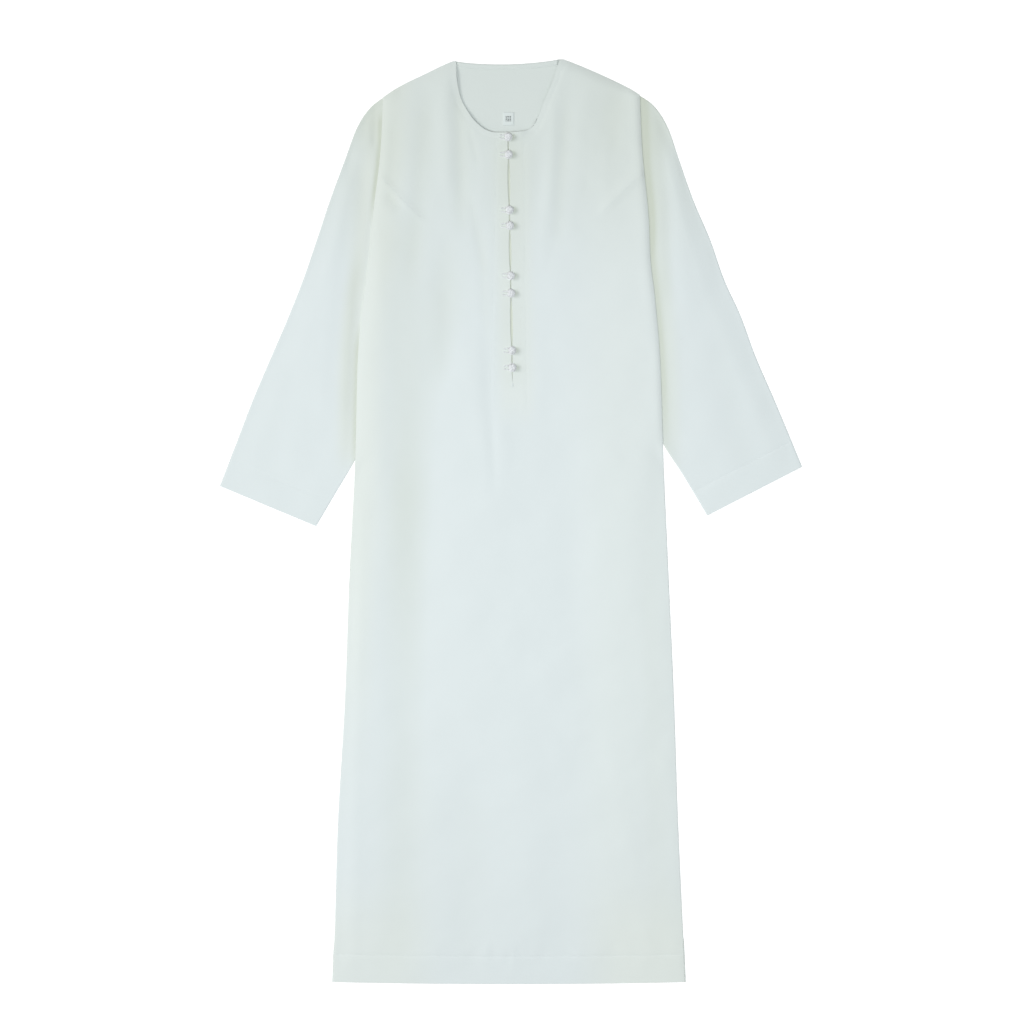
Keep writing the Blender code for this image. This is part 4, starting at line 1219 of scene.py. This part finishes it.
# %% The knot's path
ROUNDS, SWINGS = 3, 4
SWING_ANGLE = math.radians(60)
BALL_RADIUS, BALL_SQUASH = 6.0, 0.8
CORD_RADIUS = 0.95
WEAVE = 0.42  # how far the cord rides over or dips under at a crossing
PAIR_OFFSET = 0.86  # the doubled cords lie this far each side of the path
KNOT_POINTS = 120


def knot_paths():
    """The two closed paths of the doubled cord, round the ball's middle."""
    s = np.linspace(0, 2 * math.pi, KNOT_POINTS, endpoint=False)
    centre_radius = BALL_RADIUS - CORD_RADIUS - WEAVE
    up = SWING_ANGLE * np.sin(SWINGS * s)
    r = centre_radius + WEAVE * np.sin(2 * SWINGS * s)
    outward = np.column_stack([np.cos(up) * np.cos(ROUNDS * s), np.cos(up) * np.sin(ROUNDS * s), np.sin(up)])
    path = outward * r[:, None]
    along = np.roll(path, -1, axis=0) - np.roll(path, 1, axis=0)
    aside = np.cross(along, outward)
    aside /= np.linalg.norm(aside, axis=1)[:, None]
    return [path + aside * PAIR_OFFSET, path - aside * PAIR_OFFSET]


print("knot:", ROUNDS, "rounds,", SWINGS, "swings")

# %% Make the buttons
GAP = 0.3  # the cords lie this far above the front's top
CORE = 1.7  # the ball inside the knot is this much smaller
KNOT_TURNS = (10, 47, -22, 31, 64, 5, -38, 22)  # each knot sits a little differently, in degrees
buttons = []
for number, (y, turn) in enumerate(zip(BUTTON_ROWS, KNOT_TURNS), start=1):
    bm = tube_from(knot_paths(), CORD_RADIUS, closed=True)
    bmesh.ops.create_uvsphere(bm, u_segments=16, v_segments=10, radius=(BALL_RADIUS - CORE) * MM)
    bmesh.ops.rotate(bm, matrix=Matrix.Rotation(math.radians(turn), 3, "Z"), verts=bm.verts)
    bmesh.ops.rotate(bm, matrix=Matrix.Rotation(math.radians(turn / 3), 3, "Y"), verts=bm.verts)
    bmesh.ops.scale(bm, vec=(1, 1, BALL_SQUASH), verts=bm.verts)
    centre = Vector((float(slit_x(y)), y, FRONT_TOP + GAP + BALL_RADIUS * BALL_SQUASH)) * MM
    bmesh.ops.translate(bm, vec=centre, verts=bm.verts)
    buttons.append(piece_from(bm, f"knot_{number}", cord_finish, f"button_{number}", slot="cord"))
print(len(buttons), "knots,", len(buttons[0].data.polygons), "faces each")

# %% Make the loops
LOOP_RADIUS, LOOP_LEG, LOOP_SPLAY, LOOP_OPENING = 5.9, 13.0, 2.4, math.radians(38)
LOOP_BEND = ((-11.6, 2.6), (-9.6, 2.85), (-7.6, 3.1), (-5.9, 3.4))  # the legs, as they near each other
LEG_DROP, LEG_DROP_X = 0.35, (-9, -13)  # their ends are sewn down to the cloth
loop_low, loop_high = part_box("loop_1")
LOOP_CORD = (loop_high.z - loop_low.z) / MM
loop_z = FRONT_TOP + GAP + LOOP_CORD / 2
loops = []
for number, y in enumerate(BUTTON_ROWS, start=1):
    angles = np.linspace(math.pi - LOOP_OPENING, LOOP_OPENING - math.pi, 30)
    ring = [(LOOP_RADIUS * math.cos(a), LOOP_RADIUS * math.sin(a)) for a in angles]
    legs = [(-LOOP_LEG, LOOP_SPLAY), *LOOP_BEND]
    outline = legs + ring + [(x, -off) for x, off in reversed(legs)]
    path = [(slit_x(y) + x, y + off, loop_z - LEG_DROP * rise(x, *LEG_DROP_X)) for x, off in outline]
    bm = tube_from([path], LOOP_CORD / 2, sides=10)
    loops.append(piece_from(bm, f"cord_loop_{number}", cord_finish, f"loop_{number}", slot="cord"))
print(len(loops), "loops")

# %% Make the knots' tails
TAIL_START, TAIL_REACH, TAIL_RADIUS = 1.0, 6.4, 0.8
TAIL_OFFSETS = (-1.0, 1.0)  # the two tails of a knot lie side by side
TAIL_HEIGHT, TAIL_DROP, TAIL_DROP_X = 0.75, 0.5, (5, 8)  # their ends are sewn down too
tails = []
for y in BUTTON_ROWS:
    for off in TAIL_OFFSETS:
        xs = np.linspace(TAIL_START, TAIL_REACH, 6)
        zs = FRONT_TOP + TAIL_HEIGHT - TAIL_DROP * rise(xs, *TAIL_DROP_X)
        tails.append([(slit_x(y) + x, y + off, z) for x, z in zip(xs, zs)])
piece_from(tube_from(tails, TAIL_RADIUS), "knot_tails", cord_finish, slot="cord")
print(len(tails), "cord ends")

# %% [markdown]
# ## Stitches
# Each stitch is a short bead of thread half sunk in the cloth, 3 mm from the next. A dashed pattern
# in the cloth's finish would be lighter, but flat from the side. There are over a thousand, so a
# bead has only two dozen faces, and each row is one mesh. The rows follow the same lines that
# pressed their grooves into the cloth.

# %% Sew the rows
PITCH = 3.1
BEAD = (1.15, 0.26, 0.2)  # half a stitch's size in each direction


def add_bead(bm, place, heading, bead=BEAD):
    shape = Matrix.Rotation(heading, 4, "Z") @ Matrix.Diagonal((*bead, 1))
    matrix = Matrix.Scale(MM, 4) @ Matrix.Translation(place) @ shape
    bmesh.ops.create_uvsphere(bm, u_segments=6, v_segments=4, radius=1, matrix=matrix)


def sew(bm, line, height):
    """Stitches along a line, at the height that a function gives for each place."""
    line = np.asarray(line, float)
    length = np.linalg.norm(np.diff(line, axis=0), axis=1).sum()
    count = int(length / PITCH)
    shares = (np.arange(count) + 0.5) / count
    places, ahead = spread(line, shares), spread(line, shares + 0.2 / count)
    for (x, y), (next_x, next_y), z in zip(places, ahead, height(places[:, 0], places[:, 1])):
        add_bead(bm, (x, y, z), math.atan2(next_y - y, next_x - x))
    return count


def sleeve_top(side):
    def height(x, y):
        crown = (SLEEVE_ROWS[side][0][4] + SLEEVE_ROWS[side][1][4]) / 2
        (start_x, start_y), (end_x, end_y) = cuff_stitches[side][[0, -1]]
        away = np.minimum(np.hypot(x - start_x, y - start_y), np.hypot(x - end_x, y - end_y))
        return SLEEVE_FLAT + sleeve_relief(side, x, y, crown, away) * rounded(away, FOLD_ROUND)

    return height


def level(z):
    """A height that is the same everywhere."""
    return lambda x, y: np.full(np.shape(x), z)


def back_underside(x, y):
    return back_height(x, y) - BACK_WALL


def cuff_rows(side):
    """The cuff's row on the sleeve's upper side, and the same row beneath."""
    line = cuff_stitches[side][1:-1]
    return [(line, sleeve_top(side)), (line, level(UNDER_REST))]


facing_line = np.column_stack([facing_x, back_top_y(facing_x) - FACING_GAP - FACING_SEAM])[1:-1]
FACING_PRESS, LABEL_PRESS = -0.1, 0.02  # the rows' heights, from the tops of what they are sewn into
LABEL_SIDE, LABEL_END = 1.2, 1.1  # the label's two rows stay this far inside its edges
label_ends = [
    ((label_low[0] + LABEL_SIDE, end_y), (label_high[0] - LABEL_SIDE, end_y))
    for end_y in (label_low[1] + LABEL_END, label_high[1] - LABEL_END)
]
YOKE_SEWN = 34  # the front's yoke rows stop at this point, where the ridge has faded
ROWS = (
    ("hem_stitches", [(hem_stitches, front_height)]),
    ("placket_stitches", [(placket_stitches, front_height)]),
    ("neck_stitches", [(line, front_height) for line in neck_stitches.values()]),
    ("yoke_stitches", [(line[:YOKE_SEWN], front_height) for line in YOKE_LINES.values()]),
    ("back_stitches", [(hem_stitches[1:-1], back_underside), (BACK_YOKE, back_underside)]),
    ("neck_band_stitches", [(facing_line, level(FACING_TOP + FACING_PRESS))]),
    ("label_stitches", [(end, level(LABEL_TOP + LABEL_PRESS)) for end in label_ends]),
    ("right_cuff_stitches", cuff_rows(-1)),
    ("left_cuff_stitches", cuff_rows(1)),
)
for name, lines in ROWS:
    bm = bmesh.new()
    count = sum(sew(bm, line, height) for line, height in lines)
    piece_from(bm, name, thread_finish)
    print(name, count)

# %% [markdown]
# ## Tacks
# The loops' legs and the knots' ends are held by a few tight stitches across the cord, and a bar of
# close stitches below the slit keeps it from tearing further. They are the same beads as before,
# turned across and laid on top of the cords.

# %% Tack the cords and the slit's end
TACK = (1.25, 0.24, 0.28)
TACK_STEPS = (0.7, 1.5, 2.3)  # from the end of the cord
TACK_SUNK, TAIL_TACK = 0.1, 1.1  # a tack is a little sunk in a loop's leg; its height over a tail
BAR, BAR_PITCH, BAR_COUNT = (1.9, 0.3, 0.25), 0.75, 8
BAR_START = 1.0  # below the slit's end

bm = bmesh.new()
for y in BUTTON_ROWS:
    for step in TACK_STEPS:
        for off in (-LOOP_SPLAY, LOOP_SPLAY):
            place = (slit_x(y) - LOOP_LEG + step, y + off, loop_z - LEG_DROP + LOOP_CORD / 2 - TACK_SUNK)
            add_bead(bm, place, math.pi / 2, TACK)
        for off in TAIL_OFFSETS:
            add_bead(bm, (slit_x(y) + TAIL_REACH - step, y + off, FRONT_TOP + TAIL_TACK), math.pi / 2, TACK)
for number in range(BAR_COUNT):
    y = SLIT_END[1] - BAR_START - number * BAR_PITCH
    z = float(front_height(np.array([slit_x(y)]), np.array([y]))[0])
    add_bead(bm, (slit_x(y), y, z + TACK_SUNK), 0.0, BAR)
tacks = piece_from(bm, "tacks", thread_finish)
print("tacks:", len(tacks.data.polygons), "faces")
